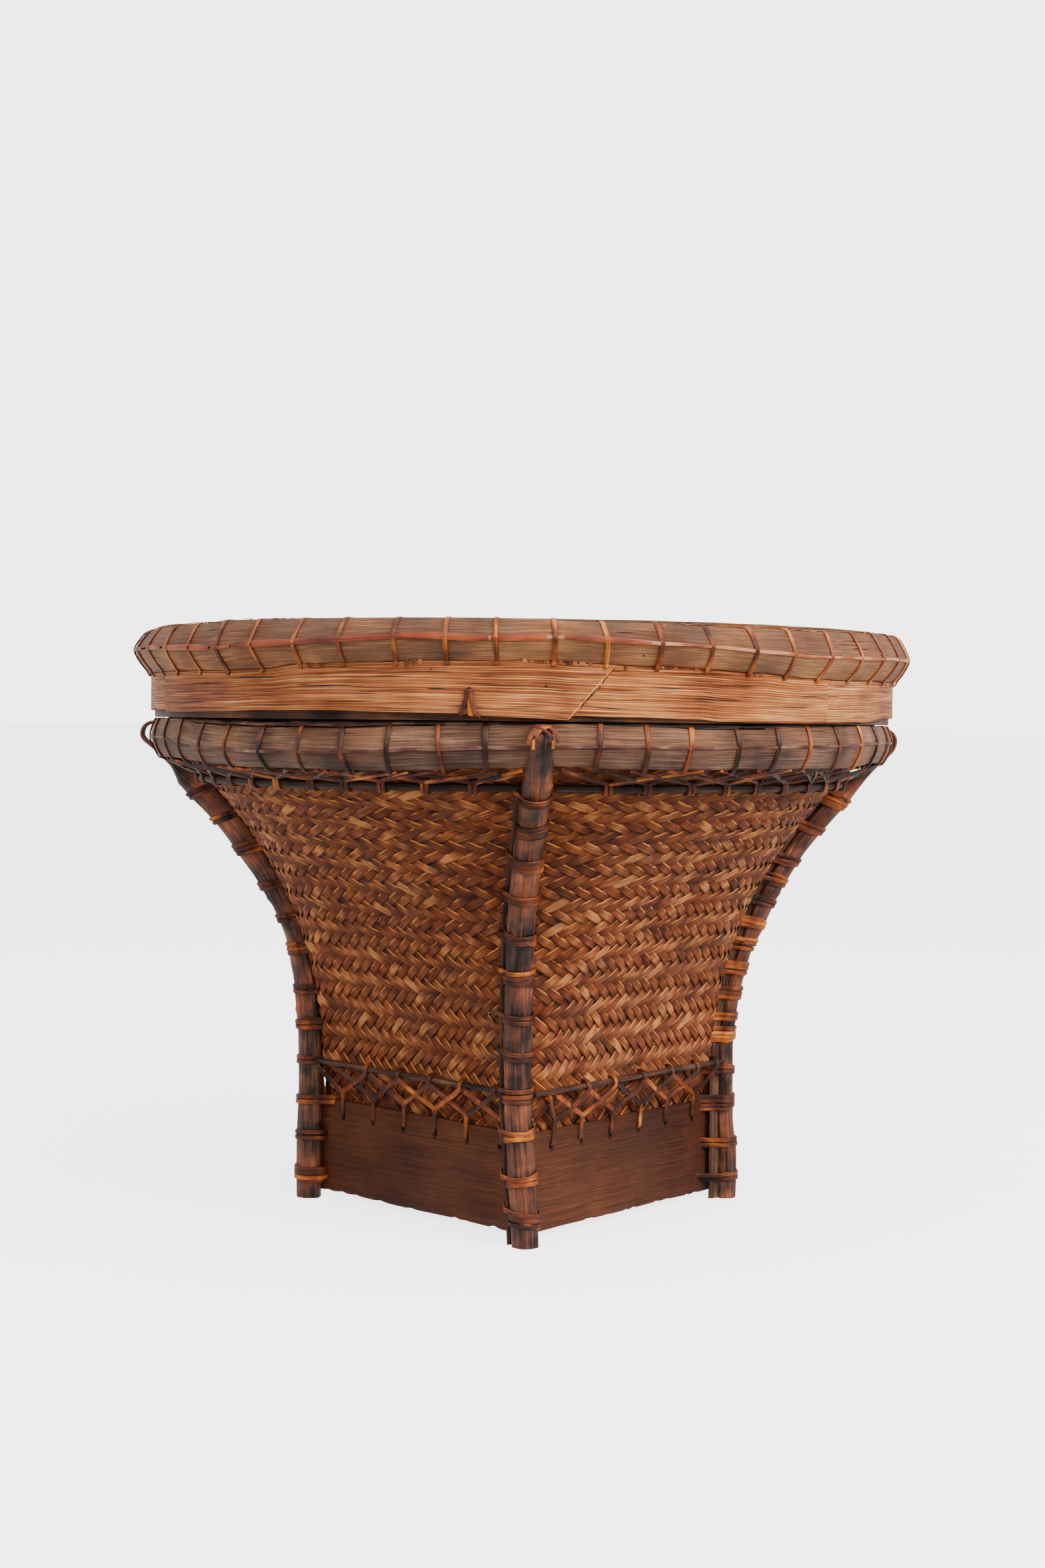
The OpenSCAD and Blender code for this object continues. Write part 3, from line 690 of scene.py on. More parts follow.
class RibbonTree:
    """A Geometry Nodes tree that sweeps rows of points into flat strips of cane.

    Each point carries its strand, its order, the way its face looks, how far the weave lifts
    it and its girth. The tree lifts the points, joins them into curves and sweeps a rounded
    section along them.
    """

    SIZES = (("Width", 4.0), ("Thickness", 0.7), ("Squareness", 0.5), ("Relief", 0.0),
             ("Spread", 0.05))

    def __init__(self) -> None:
        """Builds the tree."""
        self.tree = bpy.data.node_groups.new("cane_ribbon", "GeometryNodeTree")
        face = self.tree.interface
        face.new_socket("Geometry", in_out="INPUT", socket_type="NodeSocketGeometry")
        for name, value in self.SIZES:
            socket = face.new_socket(name, in_out="INPUT", socket_type="NodeSocketFloat")
            socket.default_value = value
        for name, value in (("Sides", 6), ("Seed", 1)):
            socket = face.new_socket(name, in_out="INPUT", socket_type="NodeSocketInt")
            socket.default_value = value
        face.new_socket("Finish", in_out="INPUT", socket_type="NodeSocketMaterial")
        face.new_socket("Geometry", in_out="OUTPUT", socket_type="NodeSocketGeometry")
        self.wire()

    def attribute(self, name: str, kind: str) -> Socket:
        """Returns the output of a named attribute."""
        return add_node(self.tree, "GeometryNodeInputNamedAttribute", {"data_type": kind},
                        {"Name": name}).outputs["Attribute"]

    def sum(self, operation: str, *values: Any) -> Socket:
        """Returns the result of a sum on numbers or sockets."""
        return math_node(self.tree, operation, *values)

    def squared(self, value: Socket,
                power: Socket) -> Socket:
        """Returns a signed power, which turns a circle towards a rounded box."""
        size = self.sum("POWER", self.sum("ABSOLUTE", value), power)
        return self.sum("MULTIPLY", self.sum("SIGN", value), size)

    def captured(self, geometry: Socket, value: Socket,
                 name: str) -> tuple[Socket, Socket]:
        """Returns the geometry and a number kept on its points."""
        node = self.tree.nodes.new("GeometryNodeCaptureAttribute")
        node.capture_items.new("FLOAT", name)
        self.tree.links.new(geometry, node.inputs[0])
        self.tree.links.new(value, node.inputs[1])
        return node.outputs[0], node.outputs[1]

    def wire(self) -> None:
        """Adds and links the nodes."""
        tree = self.tree
        given = tree.nodes.new("NodeGroupInput").outputs
        facing = self.attribute("facing", "FLOAT_VECTOR")
        strand = self.attribute("strand", "INT")
        rise = self.sum("MULTIPLY", self.attribute("lift", "FLOAT"), given["Relief"])
        offset = add_node(tree, "ShaderNodeVectorMath", {"operation": "SCALE"},
                          {0: facing, "Scale": rise}).outputs[0]
        lifted = add_node(tree, "GeometryNodeSetPosition", None,
                          {"Geometry": given["Geometry"], "Offset": offset})
        dots = add_node(tree, "GeometryNodeMeshToPoints", None,
                        {"Mesh": lifted.outputs[0]})
        curves = add_node(tree, "GeometryNodePointsToCurves", None, {
            "Points": dots.outputs[0], "Curve Group ID": strand,
            "Weight": self.attribute("order", "FLOAT")})
        looking = add_node(tree, "GeometryNodeSetCurveNormal", {"mode": "FREE"},
                           {"Curve": curves.outputs[0], "Normal": facing})
        length = add_node(tree, "GeometryNodeSplineParameter").outputs["Length"]
        line, along = self.captured(looking.outputs[0], length, "along")
        circle = add_node(tree, "GeometryNodeCurvePrimitiveCircle", None,
                          {"Resolution": given["Sides"], "Radius": 1.0}).outputs[0]
        spot = add_node(tree, "ShaderNodeSeparateXYZ", None, {
            0: add_node(tree, "GeometryNodeInputPosition").outputs[0]}).outputs
        wide = self.squared(spot[0], given["Squareness"])
        thick = self.squared(spot[1], given["Squareness"])
        section, edge = self.captured(circle, wide, "edge")
        half_w = self.sum("MULTIPLY", given["Width"], 0.5)
        half_t = self.sum("MULTIPLY", given["Thickness"], 0.5)
        outline = add_node(tree, "GeometryNodeSetPosition", None, {
            "Geometry": section,
            "Position": add_node(tree, "ShaderNodeCombineXYZ", None, {
                0: self.sum("MULTIPLY", thick, half_t),
                1: self.sum("MULTIPLY", wide, half_w)}).outputs[0]}).outputs[0]
        jitter = add_node(tree, "FunctionNodeRandomValue", {"data_type": "FLOAT"}, {
            "ID": strand, "Seed": given["Seed"]})
        tree.links.new(self.sum("SUBTRACT", 1.0, given["Spread"]), jitter.inputs[2])
        tree.links.new(self.sum("ADD", 1.0, given["Spread"]), jitter.inputs[3])
        girth = self.sum("MULTIPLY", self.attribute("girth", "FLOAT"), jitter.outputs[1])
        swept = add_node(tree, "GeometryNodeCurveToMesh", None, {
            "Curve": line, "Profile Curve": outline, "Scale": girth, "Fill Caps": True})
        fibre = add_node(tree, "ShaderNodeCombineXYZ", None, {
            0: self.sum("DIVIDE", along, MM),
            1: self.sum("DIVIDE", self.sum("MULTIPLY", edge, half_w), MM),
            2: self.sum("MULTIPLY", strand, 3.7)}).outputs[0]
        geometry = swept.outputs[0]
        for name, kind, value in (("fibre", "FLOAT_VECTOR", fibre), ("edge", "FLOAT", edge)):
            geometry = add_node(tree, "GeometryNodeStoreNamedAttribute",
                                {"data_type": kind, "domain": "POINT"},
                                {"Geometry": geometry, "Name": name,
                                 "Value": value}).outputs[0]
        real = add_node(tree, "GeometryNodeRealizeInstances", None,
                        {"Geometry": geometry}).outputs[0]
        dressed = add_node(tree, "GeometryNodeSetMaterial", None, {
            "Geometry": real, "Material": given["Finish"]}).outputs[0]
        tree.links.new(dressed, tree.nodes.new("NodeGroupOutput").inputs[0])

    def set_inputs(self, modifier: bpy.types.Modifier, values: dict[str, Any]) -> None:
        """Sets the modifier's inputs by their sockets' identifiers."""
        for item in self.tree.interface.items_tree:
            if item.in_out == "INPUT" and item.name in values:
                modifier[item.identifier] = values[item.name]


RIBBONS = RibbonTree()


@dataclass
class Strands:
    """Centre lines of cane, gathered before they are swept into one piece.

    Attributes:
        width, thickness, finish: Size of the cane's section, and its finish.
        squareness: 1 for an oval section, towards 0 for a square one.
        relief: How far the weave lifts a strand.
        spread: How much the strands differ in girth.
        sides: Points in the section.
        seed: Fixed seed of their girths.
        crease: Angle in degrees above which an edge stays sharp.
        lines, facings, lifts, girths, tones: What lay() has gathered.
    """

    width: float
    thickness: float
    finish: Finish
    squareness: float = 0.5
    relief: float = 0.0
    spread: float = 0.05
    sides: int = 6
    seed: int = 1
    crease: float = 50.0
    lines: list[Points] = field(default_factory=list)
    facings: list[Points] = field(default_factory=list)
    lifts: list[Points] = field(default_factory=list)
    girths: list[Points] = field(default_factory=list)
    tones: list[Points] = field(default_factory=list)

    def lay(self, line: Points, facing: Points, tone: Any = 0.5, lift: Any = 0.0,
            girth: Any = 1.0) -> None:
        """Adds one strand.

        Args:
            line: Its centre line's points, in millimetres.
            facing: The way its face looks, for each point or for all.
            tone: Its shade, 0 to 1, for each point or for all.
            lift: How the weave lifts it, -1 to 1, for each point or for all.
            girth: Its size against the set width and thickness.
        """
        n = len(line)
        self.lines.append(np.asarray(line, float))
        self.facings.append(unit(np.broadcast_to(facing, (n, 3)).astype(float)))
        self.tones.append(np.broadcast_to(tone, n).astype(float))
        self.lifts.append(np.broadcast_to(lift, n).astype(float))
        self.girths.append(np.broadcast_to(girth, n).astype(float))

    def sweep(self, name: str) -> Piece:
        """Sweeps the strands into one plain mesh.

        Args:
            name: The piece's name.

        Returns:
            The new object, in metres.
        """
        mesh = bpy.data.meshes.new(name + "_points")
        mesh.from_pydata((np.concatenate(self.lines) * MM).tolist(), [], [])
        counts = [len(x) for x in self.lines]
        strand = np.repeat(np.arange(len(counts)), counts).astype(np.int32)
        order = np.concatenate([np.arange(c) for c in counts])
        for label, kind, key, value in (
                ("strand", "INT", "value", strand), ("order", "FLOAT", "value", order),
                ("lift", "FLOAT", "value", np.concatenate(self.lifts)),
                ("girth", "FLOAT", "value", np.concatenate(self.girths)),
                ("tone", "FLOAT", "value", np.concatenate(self.tones)),
                ("facing", "FLOAT_VECTOR", "vector", np.concatenate(self.facings))):
            data = mesh.attributes.new(label, kind, "POINT").data
            data.foreach_set(key, np.ravel(value).astype(
                np.int32 if kind == "INT" else np.float32))
        holder = add_object(name + "_points", mesh)
        modifier = holder.modifiers.new("ribbon", "NODES")
        modifier.node_group = RIBBONS.tree
        RIBBONS.set_inputs(modifier, {
            "Width": self.width * MM, "Thickness": self.thickness * MM,
            "Squareness": self.squareness, "Relief": self.relief * MM,
            "Spread": self.spread, "Sides": self.sides, "Seed": self.seed,
            "Finish": WARDROBE.material(self.finish)})
        swept = applied(holder)
        bpy.data.objects.remove(holder)
        for label in ("girth", "order", "strand", "facing"):
            if label in swept.attributes:
                swept.attributes.remove(swept.attributes[label])
        finish_mesh(swept, self.crease)
        return add_object(name, swept)


# ---- The woven body ----


@dataclass
class VesselForm:
    """The outer surface of the woven wall: square at the foot, round at the mouth.

    Attributes:
        floor_z, top_z: Heights of the wall's lower and upper edge.
        board_top, board_face, board_t: Top edge, outer face and thickness of a foot board.
        rail_z, high_rail_z: Heights of the lower and the upper sticks.
        ridge_z, mouth_r: Height of the rim's ridge and the wall's radius there.
        leg_straight: Height up to which the corners are upright.
        floor_half: Half the floor's width.
        corner_round, foot_round: Roundness of the corners above and behind the boards.
        levels, around: Rows and columns in the table of points.
    """

    floor_z: float = low("woven_vessel", 2)
    top_z: float = high("woven_vessel", 2)
    board_top: float = high("base_board_front", 2)
    board_face: float = high("base_board_right", 0)
    board_t: float = 3.0
    rail_z: float = middle_of("lower_rail_right", 2)
    high_rail_z: float = middle_of("upper_rail_right", 2)
    ridge_z: float = high("rim_lower_strip", 2) + 0.15
    mouth_r: float = high("woven_vessel", 0)
    leg_straight: float = 80.0
    floor_half: float = 66.0
    corner_round: float = 0.18
    foot_round: float = 0.04
    levels: int = 220
    around: int = 480

    def __post_init__(self) -> None:
        """Works out the bend and fills the tables of points and normals."""
        self.foot_r = self.board_face * math.sqrt(2)
        reach, rise = self.mouth_r - self.foot_r, self.ridge_z - self.leg_straight
        self.bend_r = (rise ** 2 + reach ** 2) / (2 * reach)
        self.tuck_half = self.board_face - self.board_t - GAP
        self.z = np.linspace(self.floor_z, self.top_z, self.levels)
        self.table = np.stack([self.outline(z) for z in self.z])
        up = np.gradient(self.table, axis=0)
        right = np.roll(self.table, -1, 1) - np.roll(self.table, 1, 1)
        self.normals = unit(np.cross(right, up))
        steps = np.linalg.norm(np.diff(self.table, axis=0), axis=-1).mean(1)
        self.s = summed(steps)
        self.perimeter = np.linalg.norm(
            self.table - np.roll(self.table, 1, 1), axis=-1).sum(1)

    def corner_radius(self, z: float) -> float:
        """Returns the radius of the wall's corners at a height."""
        if z <= self.leg_straight:
            return self.foot_r
        if z >= self.ridge_z:
            return self.mouth_r
        return self.foot_r + self.bend_r - math.sqrt(
            self.bend_r ** 2 - (z - self.leg_straight) ** 2)

    def roundness(self, z: float) -> float:
        """Returns how round the outline is at a height, 1 for a circle."""
        if z < self.rail_z:
            share = max(0.0, (z - self.board_top) / (self.rail_z - self.board_top))
            return self.foot_round + (self.corner_round - self.foot_round) * share
        share = smooth(np.float64((z - self.rail_z) / (self.high_rail_z - self.rail_z)))
        return float(self.corner_round + (1 - self.corner_round) * share)

    def half_width(self, z: float) -> float:
        """Returns half the wall's width at a height."""
        free = self.corner_radius(z) / (math.sqrt(2) - (math.sqrt(2) - 1) * self.roundness(z))
        if z <= self.board_top:
            share = (z - self.floor_z) / (self.board_top - self.floor_z)
            return self.floor_half + (self.tuck_half - self.floor_half) * math.sin(
                math.pi / 2 * share)
        if z <= self.rail_z:
            share = (z - self.board_top) / (self.rail_z - self.board_top)
            return self.tuck_half + (free - self.tuck_half) * share
        return free

    def outline(self, z: float) -> Points:
        """Returns the level outline at a height, evenly spaced from the front right corner."""
        a, t = self.half_width(z), self.roundness(z)
        c = a * t
        b = a - c
        p = np.linspace(0, math.pi / 4, 91)
        flat = a / np.cos(p)
        bent = b * (np.cos(p) + np.sin(p)) + np.sqrt(np.maximum(
            c * c - (b * (np.cos(p) - np.sin(p))) ** 2, 0))
        r = np.where(a * np.tan(p) <= b, flat, bent)
        side = np.concatenate([-p[::-1], p[1:]])
        radius = np.concatenate([r[::-1], r[1:]])
        angle = np.concatenate([side[:-1] + k * math.pi / 2 for k in range(4)])
        radius = np.tile(radius[:-1], 4)
        ring = polar(radius, angle, z)
        closed = np.vstack([ring, ring[:1]])
        run = summed(np.linalg.norm(np.diff(closed, axis=0), axis=1))
        even = np.linspace(0, run[-1], self.around, endpoint=False)
        return np.stack([np.interp(even, run, closed[:, k]) for k in range(3)], -1)

    def at(self, turn: Points, s: Points) -> tuple[Points, Points]:
        """Finds points on the wall.

        Args:
            turn: Share of the way around, from the front right corner.
            s: Length up the wall from its foot, in millimetres.

        Returns:
            The points and their outward normals.
        """
        level = np.interp(s, self.s, np.arange(self.levels))
        l0 = np.clip(np.floor(level).astype(int), 0, self.levels - 2)
        lf = (level - l0)[..., None]
        place = np.asarray(turn) % 1.0 * self.around
        f0 = np.floor(place).astype(int) % self.around
        f1 = (f0 + 1) % self.around
        ff = (place - np.floor(place))[..., None]

        def mix(grid: Points) -> Points:
            """Returns a table's values between its points."""
            lower = grid[l0, f0] * (1 - ff) + grid[l0, f1] * ff
            upper = grid[l0 + 1, f0] * (1 - ff) + grid[l0 + 1, f1] * ff
            return lower * (1 - lf) + upper * lf

        return mix(self.table), unit(mix(self.normals))

    def corner_depth(self, z: float, y: Points) -> Points:
        """Returns the wall's distance out along a corner's direction, at y to its side."""
        ring = turned(self.outline(float(np.clip(z, self.floor_z, self.top_z))), 45.0)
        near = ring[ring[:, 0] > 0.5 * ring[:, 0].max()]
        near = near[np.argsort(near[:, 1])]
        return np.interp(y, near[:, 1], near[:, 0])


FORM = VesselForm()


@dataclass
class WovenBody:
    """The twill-woven wall and floor, in real strips that pass over and under.

    Attributes:
        strips: Strips in each of the two families around the wall.
        pitch: Distance between the middles of neighbouring strips.
        strip_w, strip_t: Width and thickness of a strip.
        relief: How far a strip rises and falls from the middle of the wall.
        inset: Depth of the middle of the weave below the wall's outer surface.
        float_rows: Crossings that a strip passes over before it goes under.
        bright_share: Share of floats that show pale skin.
        widen_z: Heights between which the strips widen, as the wall opens.
        widen_to: How much wider they are above.
        pieces: Pieces that each family of strips is split into.
        seed: Fixed seed of what is uneven.
    """

    strips: int = 96
    pitch: float = 4.4
    strip_w: float = 4.5
    strip_t: float = 0.75
    relief: float = 1.05
    inset: float = 1.2
    float_rows: int = 3
    bright_share: float = 0.035
    widen_z: tuple[float, float] = (80.0, 220.0)
    widen_to: float = 1.12
    pieces: int = 3
    seed: int = 11

    def rows(self) -> tuple[Points, Points]:
        """Returns the crossing rows, two steps to a row, and their lengths up the wall."""
        step = FORM.perimeter / self.strips
        sine = np.minimum(self.pitch / step, 0.95)
        rate = np.sqrt(1 - sine ** 2) / sine / step
        spread = summed(0.5 * (rate[1:] + rate[:-1]) * np.diff(FORM.s))
        rows = np.arange(0, math.floor(2 * spread[-1]) + 0.5, 0.5)
        return rows, np.interp(rows / 2, spread, FORM.s)

    def over(self, rising: bool, strip: int, rows: Points, foot_row: float) -> Points:
        """Says where a strip lies on top.

        Args:
            rising: Whether the strip rises to the right.
            strip: Its number.
            rows: Whole crossing rows.
            foot_row: Row at the lower rail, below which the weave is in blocks.

        Returns:
            1 where it lies over and -1 where it lies under.
        """
        n = 2 * self.float_rows
        other = (strip + rows) % self.strips if rising else (strip - rows) % self.strips
        twill = (rows % n) < self.float_rows
        blocks = ((strip // self.float_rows + other // self.float_rows) % 2) == 0
        state = np.where(rows < foot_row, blocks, twill)
        return np.where(state == rising, 1.0, -1.0)

    def wall(self) -> list[Piece]:
        """Returns the wall's pieces, each a third of one family of strips."""
        rng = np.random.default_rng(self.seed)
        rows, s = self.rows()
        whole = np.arange(-2, int(rows[-1]) + 3)
        foot_row = float(np.interp(np.interp(FORM.rail_z, FORM.z, FORM.s), s, rows))
        pieces = []
        for rising in (True, False):
            for part in range(self.pieces):
                strands = Strands(self.strip_w, self.strip_t, WEAVE, relief=self.relief,
                                  spread=0.03, seed=part + 3 * rising, crease=24.0)
                for strip in range(part * self.strips // self.pieces,
                                   (part + 1) * self.strips // self.pieces):
                    state = self.over(rising, strip, whole, foot_row)
                    soft = 0.27 * state[:-2] + 0.46 * state[1:-1] + 0.27 * state[2:]
                    sway = ripple(rows / rows[-1] * TURN, int(rng.integers(1 << 30)), 2, 9,
                                  0.05)
                    way = 1 if rising else -1
                    turn = (strip + way * rows / 2 + sway) / self.strips
                    base, normal = FORM.at(turn, s)
                    tilt = np.array([0, 0, 0.12 * rng.uniform(0.2, 1.6)])
                    tone = self.tones(rng, state[2:-2], whole[2:-2], rows)
                    strands.lay(
                        base - self.inset * normal, normal + tilt,
                        tone=tone - 0.12 * (rows < foot_row + 1),
                        lift=np.interp(rows, whole[1:-1], soft),
                        girth=np.interp(base[:, 2], self.widen_z, (1.0, self.widen_to)))
                piece = strands.sweep(
                    f"weave_{'rising' if rising else 'falling'}_{'abc'[part]}")
                self.face_up(piece)
                pieces.append(piece)
        return pieces

    def face_up(self, piece: Piece) -> None:
        """Turns a piece's edge measure so that 1 is the side of a strip that lies higher, where
        the painted highlight goes, and -1 the lower side, where the painted shade goes.
        """
        mesh = piece.data
        n = len(mesh.vertices)
        edge, co = np.empty(n, np.float32), np.empty(3 * n, np.float32)
        mesh.attributes["edge"].data.foreach_get("value", edge)
        mesh.vertices.foreach_get("co", co)
        z = co[2::3]
        if z[edge > 0.8].mean() < z[edge < -0.8].mean():
            mesh.attributes["edge"].data.foreach_set("value", -edge)

    def tones(self, rng: np.random.Generator, state: Points, whole: Points,
              rows: Points) -> Points:
        """Shades a strip: one shade of its own, and now and then a pale float.

        Args:
            rng: Source of the draws.
            state: Not used; over and under at the whole rows.
            whole: The whole rows.
            rows: The rows that want a shade.

        Returns:
            The shade at each row.
        """
        base = np.clip(rng.normal(0.4, 0.07), 0.2, 0.56)
        if rng.random() < 0.04:
            base = rng.uniform(0.56, 0.7)
        block = whole // self.float_rows
        pale = rng.random(block.max() + 3) < self.bright_share
        extra = np.where(pale[block], rng.uniform(0.25, 0.4),
                         rng.normal(0, 0.07, block.max() + 3)[block])
        return base + extra[np.clip(np.round(rows).astype(int), 0, len(extra) - 1)]

    def floor(self) -> Piece:
        """Returns the woven floor, whose strips run slantwise into the wall."""
        rng = np.random.default_rng(self.seed + 1)
        half, lines = FORM.floor_half, self.strips // 2
        step = 4 * half / lines / math.sqrt(2)
        strands = Strands(self.strip_w * step / self.pitch, self.strip_t, WEAVE,
                          relief=self.relief * 0.9, spread=0.04, seed=9)
        z = FORM.floor_z + 1.3
        for family in (0, 1):
            for i in range(lines):
                c = (i - (lines - 1) / 2) * step
                reach = half * math.sqrt(2) - abs(c)
                last = math.floor(reach / step * 2)
                t = np.arange(-last, last + 1) * step / 2
                cross = np.round(t / step + (lines - 1) / 2).astype(int)
                over = ((i + cross) % (2 * self.float_rows) < self.float_rows) == (
                    family == 0)
                lift = eased(np.where(over, 1.0, -1.0), (0.1, 0.2, 0.4, 0.2, 0.1))
                if len(t) > 2:
                    strands.lay(diagonal(t, c, family, z), UP, lift=lift,
                                tone=float(np.clip(rng.normal(0.42, 0.08), 0.2, 0.8)))
        return strands.sweep("woven_floor")

    def corners(self) -> Piece:
        """Returns the rough strips that close the weave behind the foot of each leg."""
        rng = np.random.default_rng(self.seed + 2)
        strands = Strands(2.6, 0.8, WEAVE, spread=0.15, seed=10)
        layers = (112.6, 110.4, 108.2, 106.0)
        z = np.linspace(FORM.board_top - 12, FORM.board_top + 34, 14)
        for leg in Corner:
            for out in layers:
                side = 0.8 * np.sin(z * 0.11 + out) + rng.uniform(-1.2, 1.2)
                r = out + 0.5 * np.sin(z * 0.3 + out) + (z - FORM.board_top) * 0.02
                strands.lay(turned(np.stack([r, side, z], -1), leg.value),
                            turned(np.array([[0.35, 1.0, 0.1]]), leg.value)[0],
                            tone=float(rng.uniform(0.25, 0.6)))
        return strands.sweep("corner_strips")

    def build(self) -> None:
        """Builds and dresses the woven body."""
        first, *others = self.wall()
        place(first, Body.BASKET, WEAVE, "woven_vessel")
        for piece in (*others, self.floor(), self.corners()):
            place(piece, Body.BASKET, WEAVE)


# ---- Legs ----


class Compass(Enum):
    """Named directions, in degrees from +X."""

    @property
    def label(self) -> str:
        """Returns the direction's name in the CAD."""
        return self.name.lower()

    def seed(self, number: int) -> int:
        """Returns a fixed seed of the direction's own."""
        return int(self.value) + number

    def draws(self, number: int) -> np.random.Generator:
        """Returns a source of random draws of the direction's own."""
        return np.random.default_rng(self.seed(number))


class Corner(Compass):
    """The four corners."""

    FRONT_RIGHT = -45.0
    BACK_RIGHT = 45.0
    BACK_LEFT = 135.0
    FRONT_LEFT = 225.0


class Side(Compass):
    """The four sides."""

    FRONT = -90.0
    RIGHT = 0.0
    BACK = 90.0
    LEFT = 180.0


STRAIGHT: Keys = ((0.0, 0.0), (276.0, 0.0))
# (height, offset) keys of the poles' bends: to the side, and in or out
LEG_SWAY: dict[Corner, Keys] = {
    Corner.FRONT_RIGHT: ((0, -0.8), (16, -1.4), (40, -3.1), (75, -5.6), (100, -5.9),
                         (170, -6.0), (185, -5.3), (207, -3.8), (227, -2.3), (252, -1.0),
                         (276, -0.4)),
    Corner.BACK_LEFT: ((0, 0.5), (60, 2.5), (130, 4.0), (200, 2.0), (276, 0.3))}
LEG_BOW: dict[Corner, Keys] = {
    Corner.FRONT_LEFT: ((0, -0.3), (83, -1.1), (107, -1.2), (130, -3.1), (150, -4.4),
                        (165, -3.8), (178, -2.1), (202, -0.1), (239, 1.5), (248, -1.2),
                        (258, -2.0), (268, -1.2), (276, -0.8)),
    Corner.BACK_RIGHT: ((0, 0.6), (25, 0.3), (49, -2.0), (96, -2.4), (144, -1.8), (157, -0.1),
                        (181, 0.4), (231, 2.0), (254, 0.4), (264, -1.2), (276, -0.6)),
    Corner.BACK_LEFT: ((0, 0.0), (90, -1.5), (170, -2.0), (230, 0.6), (276, -0.4))}
# (height, shade) pairs: how warm the bindings of a leg are up to each height
CANE_TONES: dict[Corner, Keys] = {
    Corner.BACK_RIGHT: ((75.0, 0.38), (165.0, 0.66), (math.inf, 0.38)),
    Corner.FRONT_RIGHT: ((42.0, 0.48), (66.0, 0.6), (math.inf, 0.38)),
    Corner.BACK_LEFT: ((math.inf, 0.44),), Corner.FRONT_LEFT: ((math.inf, 0.44),)}
# How much thicker each split pole is on its inner side
LEG_BED: dict[Corner, float] = {Corner.FRONT_RIGHT: 1.5, Corner.BACK_RIGHT: -2.6,
                                Corner.BACK_LEFT: 0.5, Corner.FRONT_LEFT: 1.0}


